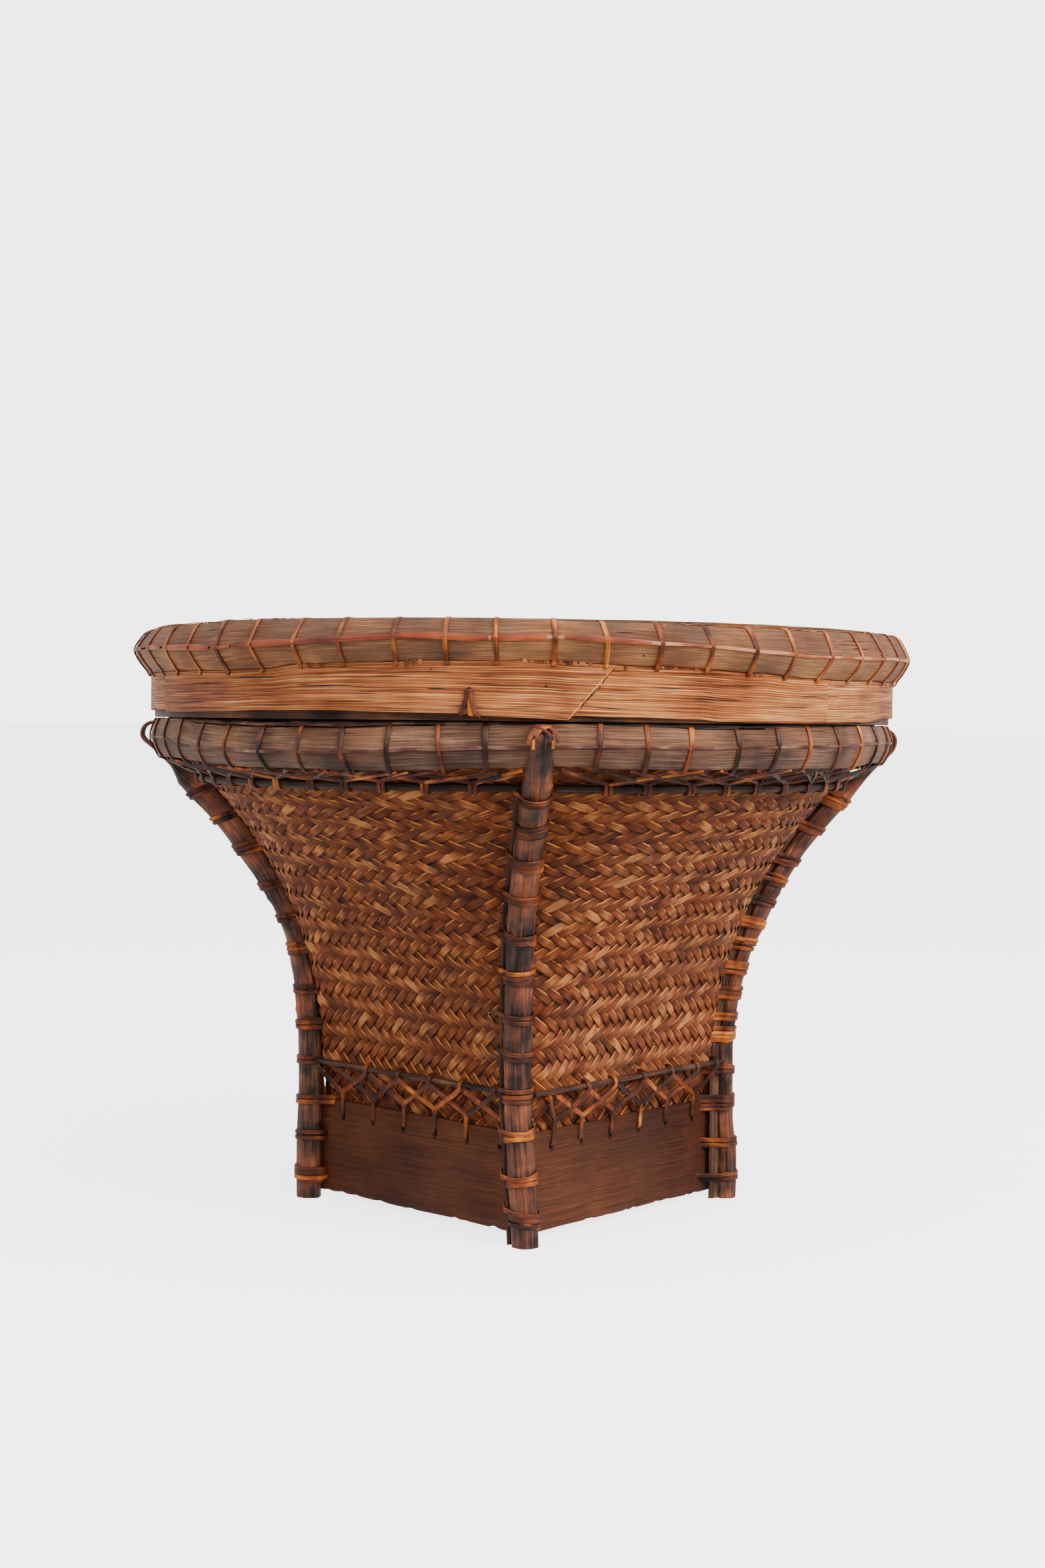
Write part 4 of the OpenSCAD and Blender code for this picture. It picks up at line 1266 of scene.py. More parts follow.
@dataclass
class CornerLegs:
    """Smoked bamboo poles that end in a thin tongue turned over the rim, and their canes.

    Attributes:
        radius: Radius of a pole.
        seat: Distance from a pole's middle to its flat inner face.
        tongue_w, tongue_t: Width and thickness of the tongue.
        turn_r: Outer radius of the tongue's turn over the rim.
        turn_end: Where the turn ends, in degrees past level.
        thin_z: Height at which the pole starts to thin out.
        bind_start: Run up the leg to the first binding.
        cane_w, cane_t: Width and thickness of the binding cane.
        stick_w, stick_d: Width and depth of the stick beside each leg.
        rim_top: Height of the rim's top edge.
        busy_z: Heights between which the back right leg's bindings stand closer together.
    """

    radius: float = 7.3
    seat: float = 6.4
    tongue_w: float = 11.0
    tongue_t: float = 2.8
    turn_r: float = 8.6
    turn_end: float = 132.0
    thin_z: float = 232.0
    bind_start: float = 12.0
    cane_w: float = 2.6
    cane_t: float = 1.2
    stick_w: float = 2.5
    stick_d: float = 3.4
    rim_top: float = high("rim_upper_strip", 2)
    busy_z: tuple[float, float] = (75.0, 190.0)

    def __post_init__(self) -> None:
        """Works out the leg's bend from the wall's."""
        self.leg_r = FORM.foot_r + self.seat + GAP
        self.bend_r = FORM.bend_r - self.seat - GAP
        self.arc = math.asin((FORM.ridge_z - FORM.leg_straight) / FORM.bend_r)
        self.run = FORM.leg_straight + self.bend_r * self.arc

    def sway(self, corner: Corner, z: Points) -> Points:
        """Returns how far a leg stands to the side at a height."""
        return keyed(z, LEG_SWAY.get(corner, STRAIGHT))

    def bow(self, corner: Corner, z: Points) -> Points:
        """Returns how far a leg stands out at a height."""
        return keyed(z, LEG_BOW.get(corner, STRAIGHT))

    def lean(self, s: Points) -> Points:
        """Returns the leg's lean from upright at a run up its middle line, in radians."""
        return np.clip((s - FORM.leg_straight) / self.bend_r, 0, None)

    def middle(self, s: Points) -> tuple[Points, Points]:
        """Returns the leg's middle line and outward direction, as radius and height."""
        s = np.asarray(s, float)
        a = self.lean(s)
        line = np.stack([self.leg_r + self.bend_r * (1 - np.cos(a)),
                         np.minimum(s, FORM.leg_straight) + self.bend_r * np.sin(a)], -1)
        return line, np.stack([np.cos(a), -np.sin(a)], -1)

    def run_at(self, z: float) -> float:
        """Returns the run up the leg's middle line at a height."""
        return FORM.leg_straight + self.bend_r * math.asin(
            (z - FORM.leg_straight) / self.bend_r)

    def stations(self, corner: Corner) -> tuple[Points, Points, Points, Points]:
        """Returns one leg's outer line, outward directions, thicknesses and half widths."""
        thin_run = self.run_at(self.thin_z)
        s = np.concatenate([np.linspace(0, thin_run, 150),
                            np.linspace(self.run_at(self.thin_z + 1), self.run, 26)])
        line, out = self.middle(s)
        ease = smooth((s - thin_run) / (self.run - thin_run))
        face = self.radius + (4.2 - self.radius) * ease
        thick = (self.radius + self.seat) * (1 - ease) + self.tongue_t * ease
        half = keyed(line[:, 1], ((246, self.radius), (256, 6.8), (264, 5.7), (267, 5.5)))
        outer = line + face[:, None] * out
        turn_z = self.rim_top - 0.9 - self.turn_r
        climb = (turn_z - outer[-1, 1] - self.turn_r * math.sin(self.arc)) / math.cos(self.arc)
        centre = np.array([outer[-1, 0] + climb * math.sin(self.arc)
                           - self.turn_r * math.cos(self.arc), turn_z])
        a = np.linspace(-self.arc, math.radians(self.turn_end), 26)
        bend_out = np.stack([np.cos(a), np.sin(a)], -1)
        outer = np.vstack([outer, centre + self.turn_r * bend_out])
        out = np.vstack([out, bend_out])
        fade = np.linspace(0, 1, a.size)
        thick = np.concatenate([thick, self.tongue_t * (1 - 0.45 * fade ** 2)])
        half = np.concatenate([half, self.tongue_w / 2 * (1 - 0.35 * fade ** 2)])
        bow = self.bow(corner, outer[:, 1])
        thick = np.maximum(thick + (0.7 * bow + LEG_BED[corner]) * smooth(
            (thick - 5) / 5), 1.2)
        return outer + bow[:, None] * out, out, thick, half

    def pole(self, corner: Corner) -> Piece:
        """Returns one leg, with the swellings and dents of a real pole."""
        rng = corner.draws(500)
        outer, out, thick, half = self.stations(corner)
        run = summed(np.linalg.norm(np.diff(outer, axis=0), axis=1))
        theta = full_turn(32)
        c, d = np.cos(theta), np.sin(theta)
        shape_x = np.where(c >= 0, c, -np.abs(c) ** 0.35)
        swell = np.zeros(len(outer))
        for node in rng.uniform(18, 28) + np.cumsum(rng.uniform(62, 88, 4)):
            swell += 0.5 * np.exp(-((run - node) / 1.6) ** 2)
            swell -= 0.22 * np.exp(-((run - node - 3.4) / 1.3) ** 2)
        wander = ripple(run / run[-1] * TURN, corner.seed(510), 2, 11, 0.12)
        dent = sum(0.10 * np.sin(k * theta[None, :] + rng.uniform(0, TURN)
                                 + run[:, None] * rng.uniform(0.02, 0.12))
                   for k in (2, 3, 5, 8, 11))
        fade = smooth((thick - self.tongue_t) / 5.0)[:, None]
        grow = 1 + (swell[:, None] + wander[:, None] + dent) * fade / self.radius
        mid = outer - out * (thick / 2)[:, None]
        x = (thick / 2)[:, None] * shape_x * np.where(c >= 0, grow, 1.0)
        y = half[:, None] * d * grow + self.sway(corner, mid[:, 1])[:, None]
        return loft(f"bamboo_leg_{corner.label}", self.set_up(corner, mid, out, x, y),
                    tone=0.42)

    def set_up(self, corner: Corner, line: Points, out: Points, x: Points,
               y: Points) -> Points:
        """Places sections along a leg's line.

        Args:
            corner: The leg's corner.
            line: Radius and height of each section's middle.
            out: Each section's outward direction.
            x: How far each of its points lies outwards.
            y: How far each of its points lies to the side.

        Returns:
            The sections, as [section, point, xyz], with none below the floor.
        """
        r, z = line[:, :1] + x * out[:, :1], line[:, 1:] + x * out[:, 1:]
        return above_ground(turned(np.stack([r, y, z], -1), corner.value))

    def loop(self, s: float, slant: float, wide: float, corner: Corner,
             board: bool) -> tuple[Points, Points]:
        """Runs one turn of cane around a leg and in through the wall or the boards.

        Args:
            s: Run up the leg.
            slant: How much higher its left end is than its right end.
            wide: Extra reach on the left, to take in the stick.
            corner: The leg's corner.
            board: Whether it ends in the foot boards.

        Returns:
            The line and its facings.
        """
        reach = self.radius + CANE_GAP + self.cane_t / 2
        a = np.radians(np.linspace(118, -118, 21))
        x, y = reach * np.cos(a), reach * np.sin(a)
        (r0, z0), _ = self.middle(s)
        shift = float(self.sway(corner, z0))
        x = x + float(self.bow(corner, z0)) * np.clip((x + 3) / 6, 0, 1)
        lean = float(self.lean(np.float64(s)))
        left = -reach - wide

        def wall(side: float) -> float:
            """Returns how far out the wall lies from the leg's middle."""
            return float(FORM.corner_depth(z0, np.float64(side + shift))) - r0

        if wide:
            x = np.concatenate([x[:15], [-1.6, -2.6, -7.0]])
            y = np.concatenate([y[:15], [left * 0.86, left, left]])
        if board:
            x = np.concatenate([[-12.6, -10.4, -8.0], x[3:]])
            y = np.concatenate([[1.0, 4.6, 7.4], y[3:]])
        else:
            deep = min(wall(reach) - 1.0, -self.seat - 1.5)
            x = np.concatenate([[deep - 1.5, deep + 1.0], x])
            y = np.concatenate([[reach * 0.9, reach * 1.0], y])
        x = np.concatenate([x, [min(wall(left) - 1.5, -self.seat - 2.5)]])
        y = np.concatenate([y, [left * 0.97]])
        tilt = slant * y / (2 * reach)
        level = 0.5 * x * math.sin(lean)
        r = r0 + x * math.cos(lean) + (tilt + level) * math.sin(lean)
        z = z0 - x * math.sin(lean) + (tilt + level) * math.cos(lean)
        line = np.stack([r, y + shift, z], -1)
        tangent = unit(np.gradient(line, axis=0))
        axis = np.array([math.sin(lean), 0, math.cos(lean)])
        facing = -unit(np.cross(axis, tangent))
        facing = np.where((facing * np.stack([x, y, 0 * x], -1)).sum(-1, keepdims=True) < 0,
                          -facing, facing)
        return turned(line, corner.value), turned(facing, corner.value)

    def bindings(self, corner: Corner) -> Piece:
        """Returns the turns of cane that bind one leg."""
        rng = corner.draws(600)
        canes = Strands(self.cane_w, self.cane_t, BINDING, squareness=0.62, spread=0.08,
                        seed=corner.seed(0) % 50)
        last = self.run_at(FORM.high_rail_z) - 2 * self.cane_w
        at = self.bind_start
        while at < last:
            (_, z), _ = self.middle(at)
            turns = 3 if rng.random() < 0.35 else 2
            slant = rng.uniform(-1.0, 1.6)
            warm = next(tone for up_to, tone in CANE_TONES[corner] if z <= up_to)
            if corner is Corner.BACK_RIGHT and z < self.busy_z[0]:
                slant = rng.uniform(-2.0, 3.0)
            for k in range(turns):
                s = at + k * (self.cane_w + CANE_GAP) + rng.uniform(-0.2, 0.2)
                wide = self.stick_w - GAP if k == turns - 1 and rng.random() < 0.8 else 0.0
                line, facing = self.loop(s, slant + rng.uniform(-0.6, 0.6), wide, corner,
                                         s < FORM.board_top - 3)
                canes.lay(line, facing, tone=warm + rng.normal(0, 0.1))
            if rng.random() < 0.5:
                line, facing = self.loop(at + 1.5, rng.choice((-7.0, 7.0)), 0.0, corner,
                                         s < FORM.board_top - 3)
                canes.lay(line, facing, tone=warm + rng.normal(0, 0.1), girth=0.85)
            busy = corner is Corner.BACK_RIGHT and self.busy_z[0] < z < self.busy_z[1]
            at += rng.uniform(11, 15) if busy else rng.uniform(19, 24)
        if corner is Corner.FRONT_RIGHT:
            self.tip(canes, corner)
        return canes.sweep(f"leg_canes_{corner.label}")

    def tip(self, canes: Strands, corner: Corner) -> None:
        """Adds the knotted cane that holds a tongue down where it turns over the rim."""
        outer, _, _, _ = self.stations(corner)
        rise = outer[:, 1].argmax()
        # How far each cane stands out, its shade, its girth and its (side, height) points
        for stand, tone, girth, path in (
                (0.5, 0.5, 0.8, ((-7.4, 265.5), (-6.0, 270.5), (-2.5, 273.6), (2.0, 273.9),
                                 (5.8, 271.0), (7.2, 266.0))),
                (0.8, 0.6, 0.8, ((-6.8, 268.0), (-3.6, 272.0), (0.5, 274.3), (4.6, 272.6),
                                 (6.8, 268.6))),
                (1.3, 0.7, 0.8, ((-4.2, 269.4), (-1.0, 272.4), (3.4, 274.2))),
                (1.5, 0.45, 0.8, ((4.0, 269.0), (0.8, 271.8), (-3.6, 274.0))),
                (0.5, 0.98, 0.7, ((-5.0, 267.6), (-4.8, 265.0), (-4.9, 262.8))),
                (0.5, 0.95, 0.7, ((4.6, 267.2), (4.8, 265.2), (4.7, 263.4)))):
            side, z = through(path, 4).T
            r = np.interp(z, outer[:rise, 1], outer[:rise, 0]) + stand
            look = np.clip((z - 266) / 9, 0, 1)
            canes.lay(turned(np.stack([r, side, z], -1), corner.value),
                      turned(np.stack([1 - 0.7 * look, 0.05 * side, look], -1),
                             corner.value), tone=tone, girth=girth)

    def stick(self, corner: Corner) -> Piece:
        """Returns the dark stick beside one leg."""
        rng = corner.draws(700)
        top = self.run_at(high("side_stick_front_right", 2))
        s = np.linspace(0.0, top, 150)
        line, out = self.middle(s)
        shift = self.sway(corner, line[:, 1])
        theta = full_turn(12)
        c, d = (np.sign(v) * np.abs(v) ** 0.7 for v in (np.cos(theta), np.sin(theta)))
        twins = 2 if corner is Corner.BACK_RIGHT else 1
        wide = self.stick_w * (0.9 if twins == 2 else 1.0)
        sticks = []
        for k in range(twins):
            half_w, half_d = (size / 2 * (1 + ripple(s / top * TURN, int(rng.integers(999)),
                                                     2, 22, 0.1))
                              for size in (wide, self.stick_d))
            across = shift - (self.radius - GAP + wide / 2 if twins == 1 else 4.6 + 1.6 * k)
            x = -self.seat + (self.stick_d / 2 if twins == 1 else 1.3 - 2.4 * k)
            x = x + half_d[:, None] * c
            y = across[:, None] + half_w[:, None] * d
            sticks.append(loft(f"side_stick_{corner.label}_dark",
                               self.set_up(corner, line, out, x, y),
                               tone=(0.5, 0.75)[twins - 1] - 0.1 * k))
        return join(f"side_stick_{corner.label}_dark", sticks)

    def build(self) -> None:
        """Builds and dresses the legs, their canes and sticks."""
        for corner in Corner:
            for make, finish, node in ((self.pole, POLE, "corner_leg"),
                                       (self.bindings, BINDING, "leg_binding"),
                                       (self.stick, STICK, "side_stick")):
                place(make(corner), Body.BASKET, finish, f"{node}_{corner.label}")


# ---- Foot: boards, rails and lacing ----


@dataclass
class Foot:
    """Four boards around the foot, laced with cane to a dark stick on each side.

    Attributes:
        thickness: Thickness of a board.
        holes: Lacing holes in a board.
        hole_pitch: Distance between holes.
        hole_drop: Distance of the holes below a board's top edge.
        hole_r: Radius of a hole.
        rail_r: Radius of the stick.
        cane_w, cane_t: Width and thickness of the lacing cane.
        bottom, top: Heights of a board's edges.
    """

    thickness: float = 3.0
    holes: int = 6
    hole_pitch: float = 24.5
    hole_drop: float = 9.0
    hole_r: float = 1.5
    rail_r: float = 2.0
    cane_w: float = 3.0
    cane_t: float = 0.8
    bottom: float = low("base_board_front", 2)
    top: float = high("base_board_front", 2)

    def __post_init__(self) -> None:
        """Finds the rail's distance from the middle and the holes' height."""
        self.rail_x = middle_of("lower_rail_right", 0)
        self.hole_z = self.top - self.hole_drop

    def columns(self) -> Points:
        """Returns the places of the holes along a board."""
        return (np.arange(self.holes) - (self.holes - 1) / 2) * self.hole_pitch

    def board(self, side: Side) -> Piece:
        """Returns one board with uneven edges and drilled holes."""
        rng = side.draws(300)
        face, back = FORM.board_face, FORM.board_face - self.thickness
        share = np.linspace(-1, 1, 150)
        chips = np.zeros(share.size)
        for _ in range(9):
            chips += rng.uniform(0.2, 0.9) * np.exp(
                -((share - rng.uniform(-0.95, 0.95)) / rng.uniform(0.01, 0.04)) ** 2)
        low_z = self.bottom + 0.25 + chips + 0.2 * np.sin(share * 7 + rng.uniform(0, 6))
        high_z = self.top - 0.25 - 0.25 * np.abs(np.sin(share * 5 + rng.uniform(0, 6)))
        heights = np.concatenate([[0.0, 0.02], np.linspace(0.08, 0.92, 12), [0.98, 1.0]])
        rows = []
        for x, soft, wavy, edge in ((face, -0.35, 0.12, heights),
                                    (back, 0.35, 0.0, heights[::-1])):
            for h in edge:
                z = low_z + (high_z - low_z) * h
                pull = x + soft * (h in (0.0, 1.0)) + wavy * np.sin(share * 9 + h * 5)
                rows.append(np.stack([pull, share * x, z], -1))
        board = loft(f"foot_board_{side.label}", turned(np.stack(rows, 1), side.value),
                     tone=0.45)
        a = full_turn(12)
        for y in self.columns():
            drill = loft("drill", turned(np.stack([
                np.stack([np.full(12, x), y + self.hole_r * np.cos(a),
                          self.hole_z + self.hole_r * np.sin(a)], -1)
                for x in (back - 2, face + 2)]), side.value))
            modifier = board.modifiers.new("hole", "BOOLEAN")
            modifier.operation, modifier.object, modifier.solver = "DIFFERENCE", drill, "EXACT"
            cut = applied(board)
            board.modifiers.clear()
            board.data = cut
            bpy.data.objects.remove(drill)
        return board

    def rail(self, side: Side) -> Piece:
        """Returns the dark stick along one side, a little uneven."""
        reach = high("lower_rail_right", 1) + 6.5
        y = np.linspace(-reach, reach, 90)
        theta = full_turn(12)
        swell = 1 + ripple(y / reach * math.pi, side.seed(320), 2, 14, 0.07)
        bow = ripple(y / reach * math.pi, side.seed(330), 1, 4, 0.3)
        x = self.rail_x + bow[:, None] + self.rail_r * swell[:, None] * np.cos(theta)
        z = FORM.rail_z + 0.6 * bow[:, None] + 0.76 * self.rail_r * swell[:, None] * np.sin(
            theta)
        rings = np.stack([x, np.broadcast_to(y[:, None], x.shape), z], -1)
        return loft(f"lower_stick_{side.label}", turned(rings, side.value), tone=0.45)

    def lacing(self, side: Side) -> Piece:
        """Returns one side's lacing: stems from the holes, crossed canes, loops on the stick."""
        rng = side.draws(340)
        canes = Strands(self.cane_w, self.cane_t, BINDING, squareness=0.6, spread=0.1,
                        seed=side.seed(0) % 40)
        shades, odds = (0.25, 0.36, 0.44, 0.66), (0.3, 0.3, 0.25, 0.15)
        face, lift = FORM.board_face, self.cane_t / 2 + CANE_GAP
        fork_x, fork_z = face + lift + 0.4, self.top + 4.8
        front, up = self.rail_x + self.rail_r + lift, FORM.rail_z
        wall_x = FORM.half_width(up)
        drawn = 4.5 if side in (Side.FRONT, Side.LEFT) else -4.5
        reach = self.columns()[-1] + self.hole_pitch * 0.55
        for column in self.columns():
            y = column + rng.uniform(-1.2, 1.2)
            tone = pick(rng, shades, odds)
            lean = rng.uniform(0.3, 1.8)
            canes.lay(through([
                (face - 2.4, y, self.hole_z), (face + lift, y, self.hole_z + 0.9),
                (face + lift, y + lean * 0.6, self.top - 2.5),
                (fork_x, y + lean, fork_z)], 4), np.array([1.0, 0, 0.15]), tone=tone)
            for way in (-1, 1):
                end = float(np.clip(y + way * self.hole_pitch + drawn, -reach, reach))
                start = y + lean + way * 0.4
                over = 0.35 if way > 0 else -0.25
                shade = pick(rng, shades, odds)
                end += way * -0.9 + rng.uniform(-0.6, 0.6)
                tail = [(front + 0.1, end, up),
                        (self.rail_x + 0.8, end, up + self.rail_r + lift),
                        (wall_x - 0.4, end, up + self.rail_r + 1.2),
                        (wall_x - 2.2, end, up + self.rail_r + 1.6)]
                if way < 0:
                    tail = [(self.rail_x + 0.6, end, up - 2.4), (wall_x, end, up - 1.6),
                            (wall_x - 1.0, end, up - 0.8), (wall_x - 2.2, end, up)]
                canes.lay(through([
                    (fork_x - 0.5, start - way * 0.5, fork_z - 2.2),
                    (fork_x + 0.1, start, fork_z),
                    ((fork_x + front) / 2 + over, (start + end) / 2, (fork_z + up - 3) / 2),
                    (front - 0.3, end - way * 1.2, up - 3.3)] + tail, 4),
                    self.lace_facing(8, 4), tone=shade)
        piece = canes.sweep(f"lower_canes_{side.label}")
        piece.data.transform(Matrix.Rotation(math.radians(side.value), 4, "Z"))
        return piece

    def lace_facing(self, knots: int, steps: int) -> Points:
        """Returns facings that look out, then up where a cane goes over the stick."""
        look = np.array([[1, 0, 0.1]] * (knots - 3) + [[0.6, 0, 0.8], [0.1, 0, 1],
                                                        [0.1, 0, 1]], float)
        return unit(through(look, steps))

    def build(self) -> None:
        """Builds and dresses the foot."""
        for side in Side:
            for make, finish, node in ((self.board, BOARD, "base_board"),
                                       (self.rail, STICK, "lower_rail"),
                                       (self.lacing, BINDING, "lower_lacing")):
                place(make(side), Body.BASKET, finish, f"{node}_{side.label}")


# ---- Rims ----


@dataclass
class RidgedRim:
    """A rim of two split bamboo strips that meet in a ridge, bound with cane.

    Attributes:
        inner_r: Inner radius of the strips.
        base, top: Heights of the lower and the top edge.
        lip, belly, top_lip: How far the lower edge, the ridge and the top edge stand out.
        ridge_wave, base_wave, top_wave: (degrees, rise) keys of the hand-bent heights of
            the ridge, the lower edge and the top edge.
        seed: Fixed seed of what is uneven.
        unevenness: How far the ridge wanders in and out.
    """

    inner_r: float
    base: float
    top: float
    lip: float
    belly: float
    top_lip: float
    ridge_wave: Keys
    base_wave: Keys
    top_wave: Keys
    seed: int
    unevenness: float = 0.6

    @property
    def ridge(self) -> float:
        """Returns the ridge's height."""
        return (self.base + self.top) / 2

    def sway(self, angle: Points) -> Points:
        """Returns how far the ridge stands out beyond its place, at angles in radians."""
        return ripple(angle, self.seed, 2, 9, self.unevenness)

    def wave(self, angle: Points, keys: Keys) -> Points:
        """Returns how far a hand-bent edge stands above its place, at angles in radians."""
        return keyed(np.degrees(angle), keys, 360.0) + ripple(angle, self.seed + 1, 9, 30,
                                                              0.12)

    def base_at(self, angle: Points) -> Points:
        """Returns the lower edge's height at angles in radians."""
        return self.base + self.wave(angle, self.base_wave)

    def top_at(self, angle: Points) -> Points:
        """Returns the top edge's height at angles in radians."""
        return self.top + np.minimum(self.wave(angle, self.top_wave), -0.1)

    def crest_at(self, angle: Points) -> Points:
        """Returns the ridge's height at angles in radians."""
        return self.ridge + self.wave(angle, self.ridge_wave)

    def outline(self, angle: Points, share: float) -> tuple[Points, Points]:
        """Finds the outer face.

        Args:
            angle: Angles in radians.
            share: -1 at the lower edge, 0 at the ridge and 1 at the top edge.

        Returns:
            Radius and height at each angle.
        """
        part = abs(share)
        edge = self.top_lip if share > 0 else self.lip
        edge_z = self.top_at(angle) if share > 0 else self.base_at(angle)
        crest = self.crest_at(angle)
        crown = 0.5 * math.sin(math.pi * part)
        out = self.belly + (edge - self.belly) * part ** 1.15 + crown
        r = self.inner_r + out + self.sway(angle) * (1 - part)
        return r, crest + (edge_z - crest) * part

    def strip(self, name: str, upper: bool, tone: float) -> Piece:
        """Returns one of the two strips as a closed hoop.

        Args:
            name: The piece's name.
            upper: Whether it is the upper strip.
            tone: Its shade.
        """
        angle = full_turn(540)
        way = 1 if upper else -1
        edge_z = self.top_at(angle) if upper else self.base_at(angle)
        rough = ripple(angle, self.seed + 5 + upper, 20, 90, 0.14)
        rows = []
        for share in (0.03, 0.12, 0.3, 0.5, 0.7, 0.88, 0.97):
            r, z = self.outline(angle, way * share)
            if share > 0.9:
                z = z + way * np.minimum(rough, 0.1) * 1.5
            rows.append(polar(r + 0.4 * rough * (share < 0.9), angle, z))
        lip = self.top_lip if upper else self.lip
        rows += [polar(self.inner_r + lip * 0.72, angle, edge_z - way * 0.02),
                 polar(self.inner_r, angle, edge_z - way * 0.25),
                 polar(self.inner_r, angle, self.crest_at(angle) + way * 0.12)]
        return loft(name, np.stack(rows, 1), closed=True, tone=tone)

    def lashing_path(self, degrees: float, over_ridge: bool, thick: float, top_in: list,
                     bottom_in: list, skew: float) -> tuple[Points, Points]:
        """Runs one lashing over the rim.

        Args:
            degrees: Its place around the rim.
            over_ridge: Whether it passes over the ridge cane.
            thick: Thickness of the cane.
            top_in: (radius, height) points before the top edge, first to last.
            bottom_in: (radius, height) points after the lower edge.
            skew: Degrees that its lower end lies to the side.

        Returns:
            The line and its facings.
        """
        proud = thick / 2 + 0.12
        a = math.radians(degrees)
        knots = [(r, z, 0.0) for r, z in top_in]
        for share in (0.95, 0.6, 0.3, 0.14, 0.0, -0.14, -0.3, -0.6, -0.95):
            r, z = self.outline(np.float64(a), share)
            ridge = (0.88 if over_ridge else -0.1) * (1 - min(abs(share) / 0.2, 1))
            knots.append((float(r) + proud + ridge, float(z), (0.95 - share) / 1.9))
        knots += [(r, z, 1.0) for r, z in bottom_in]
        line = through_polar([(r, degrees + skew * (down - 0.5), z) for r, z, down in knots],
                             3)
        across = np.array([-math.sin(a), math.cos(a), 0.0])
        return line, np.cross(unit(np.gradient(line, axis=0)), across)

    def ridge_cane(self, name: str, finish: Finish, width: float, thick: float,
                   spans: list) -> Piece:
        """Returns the flat cane along the ridge.

        Args:
            name: The piece's name.
            finish: Its finish.
            width: Its width.
            thick: Its thickness.
            spans: (from, to, girth, shade) where it is still there, in degrees.
        """
        cane = Strands(width, thick, finish, squareness=0.55, spread=0.0)
        for start, end, full, tone in spans:
            angle = np.radians(np.arange(start, end + 0.5, 1.0))
            r, z = self.outline(angle, 0.0)
            step = np.arange(angle.size)
            girth = full * np.minimum(1.0, 0.7 + 0.15 * np.minimum(step, step[::-1]))
            wear = ripple(angle, self.seed + 7, 5, 60, 0.08)
            cane.lay(polar(r + thick / 2 - 0.1, angle, z), outward(angle),
                     tone=tone + 1.5 * wear, girth=girth + wear)
        return cane.sweep(name)


def hoop(name: str, node: str, seed: int, tone: float) -> Piece:
    """Returns a bent hoop of rectangular section with a slightly uneven top edge.

    Args:
        name: The piece's name.
        node: The CAD node that gives its radius and levels.
        seed: Fixed seed of what is uneven.
        tone: Its shade.
    """
    outer, base, top = high(node, 0), low(node, 2), high(node, 2)
    inner, soft = outer - HOOP_T, 0.35
    angle = full_turn(360)
    dip = ripple(angle, seed, 5, 40, 0.08) - 0.1
    rows = [(outer, base + soft, 0), (outer, top - soft, dip), (outer - soft, top, dip),
            (inner + soft, top, dip), (inner, top - soft, dip), (inner, base + soft, 0),
            (inner + soft, base, 0), (outer - soft, base, 0)]
    rings = np.stack([polar(r, angle, z + uneven) for r, z, uneven in rows], 1)
    return loft(name, rings, closed=True, tone=tone)


def lashing_places(seed: int, miss: float, count: int) -> list[float]:
    """Spaces lashings around a rim, clear of the four legs.

    Args:
        seed: Fixed seed of their unevenness.
        miss: Degrees kept clear on each side of a leg.
        count: Lashings from one leg to the next.

    Returns:
        Their places in degrees.
    """
    rng = np.random.default_rng(seed)
    places = []
    for leg in Corner:
        first, last = leg.value + miss, leg.value + 90 - miss
        places += list(np.linspace(first, last, count) + rng.uniform(-0.5, 0.5, count))
    return places


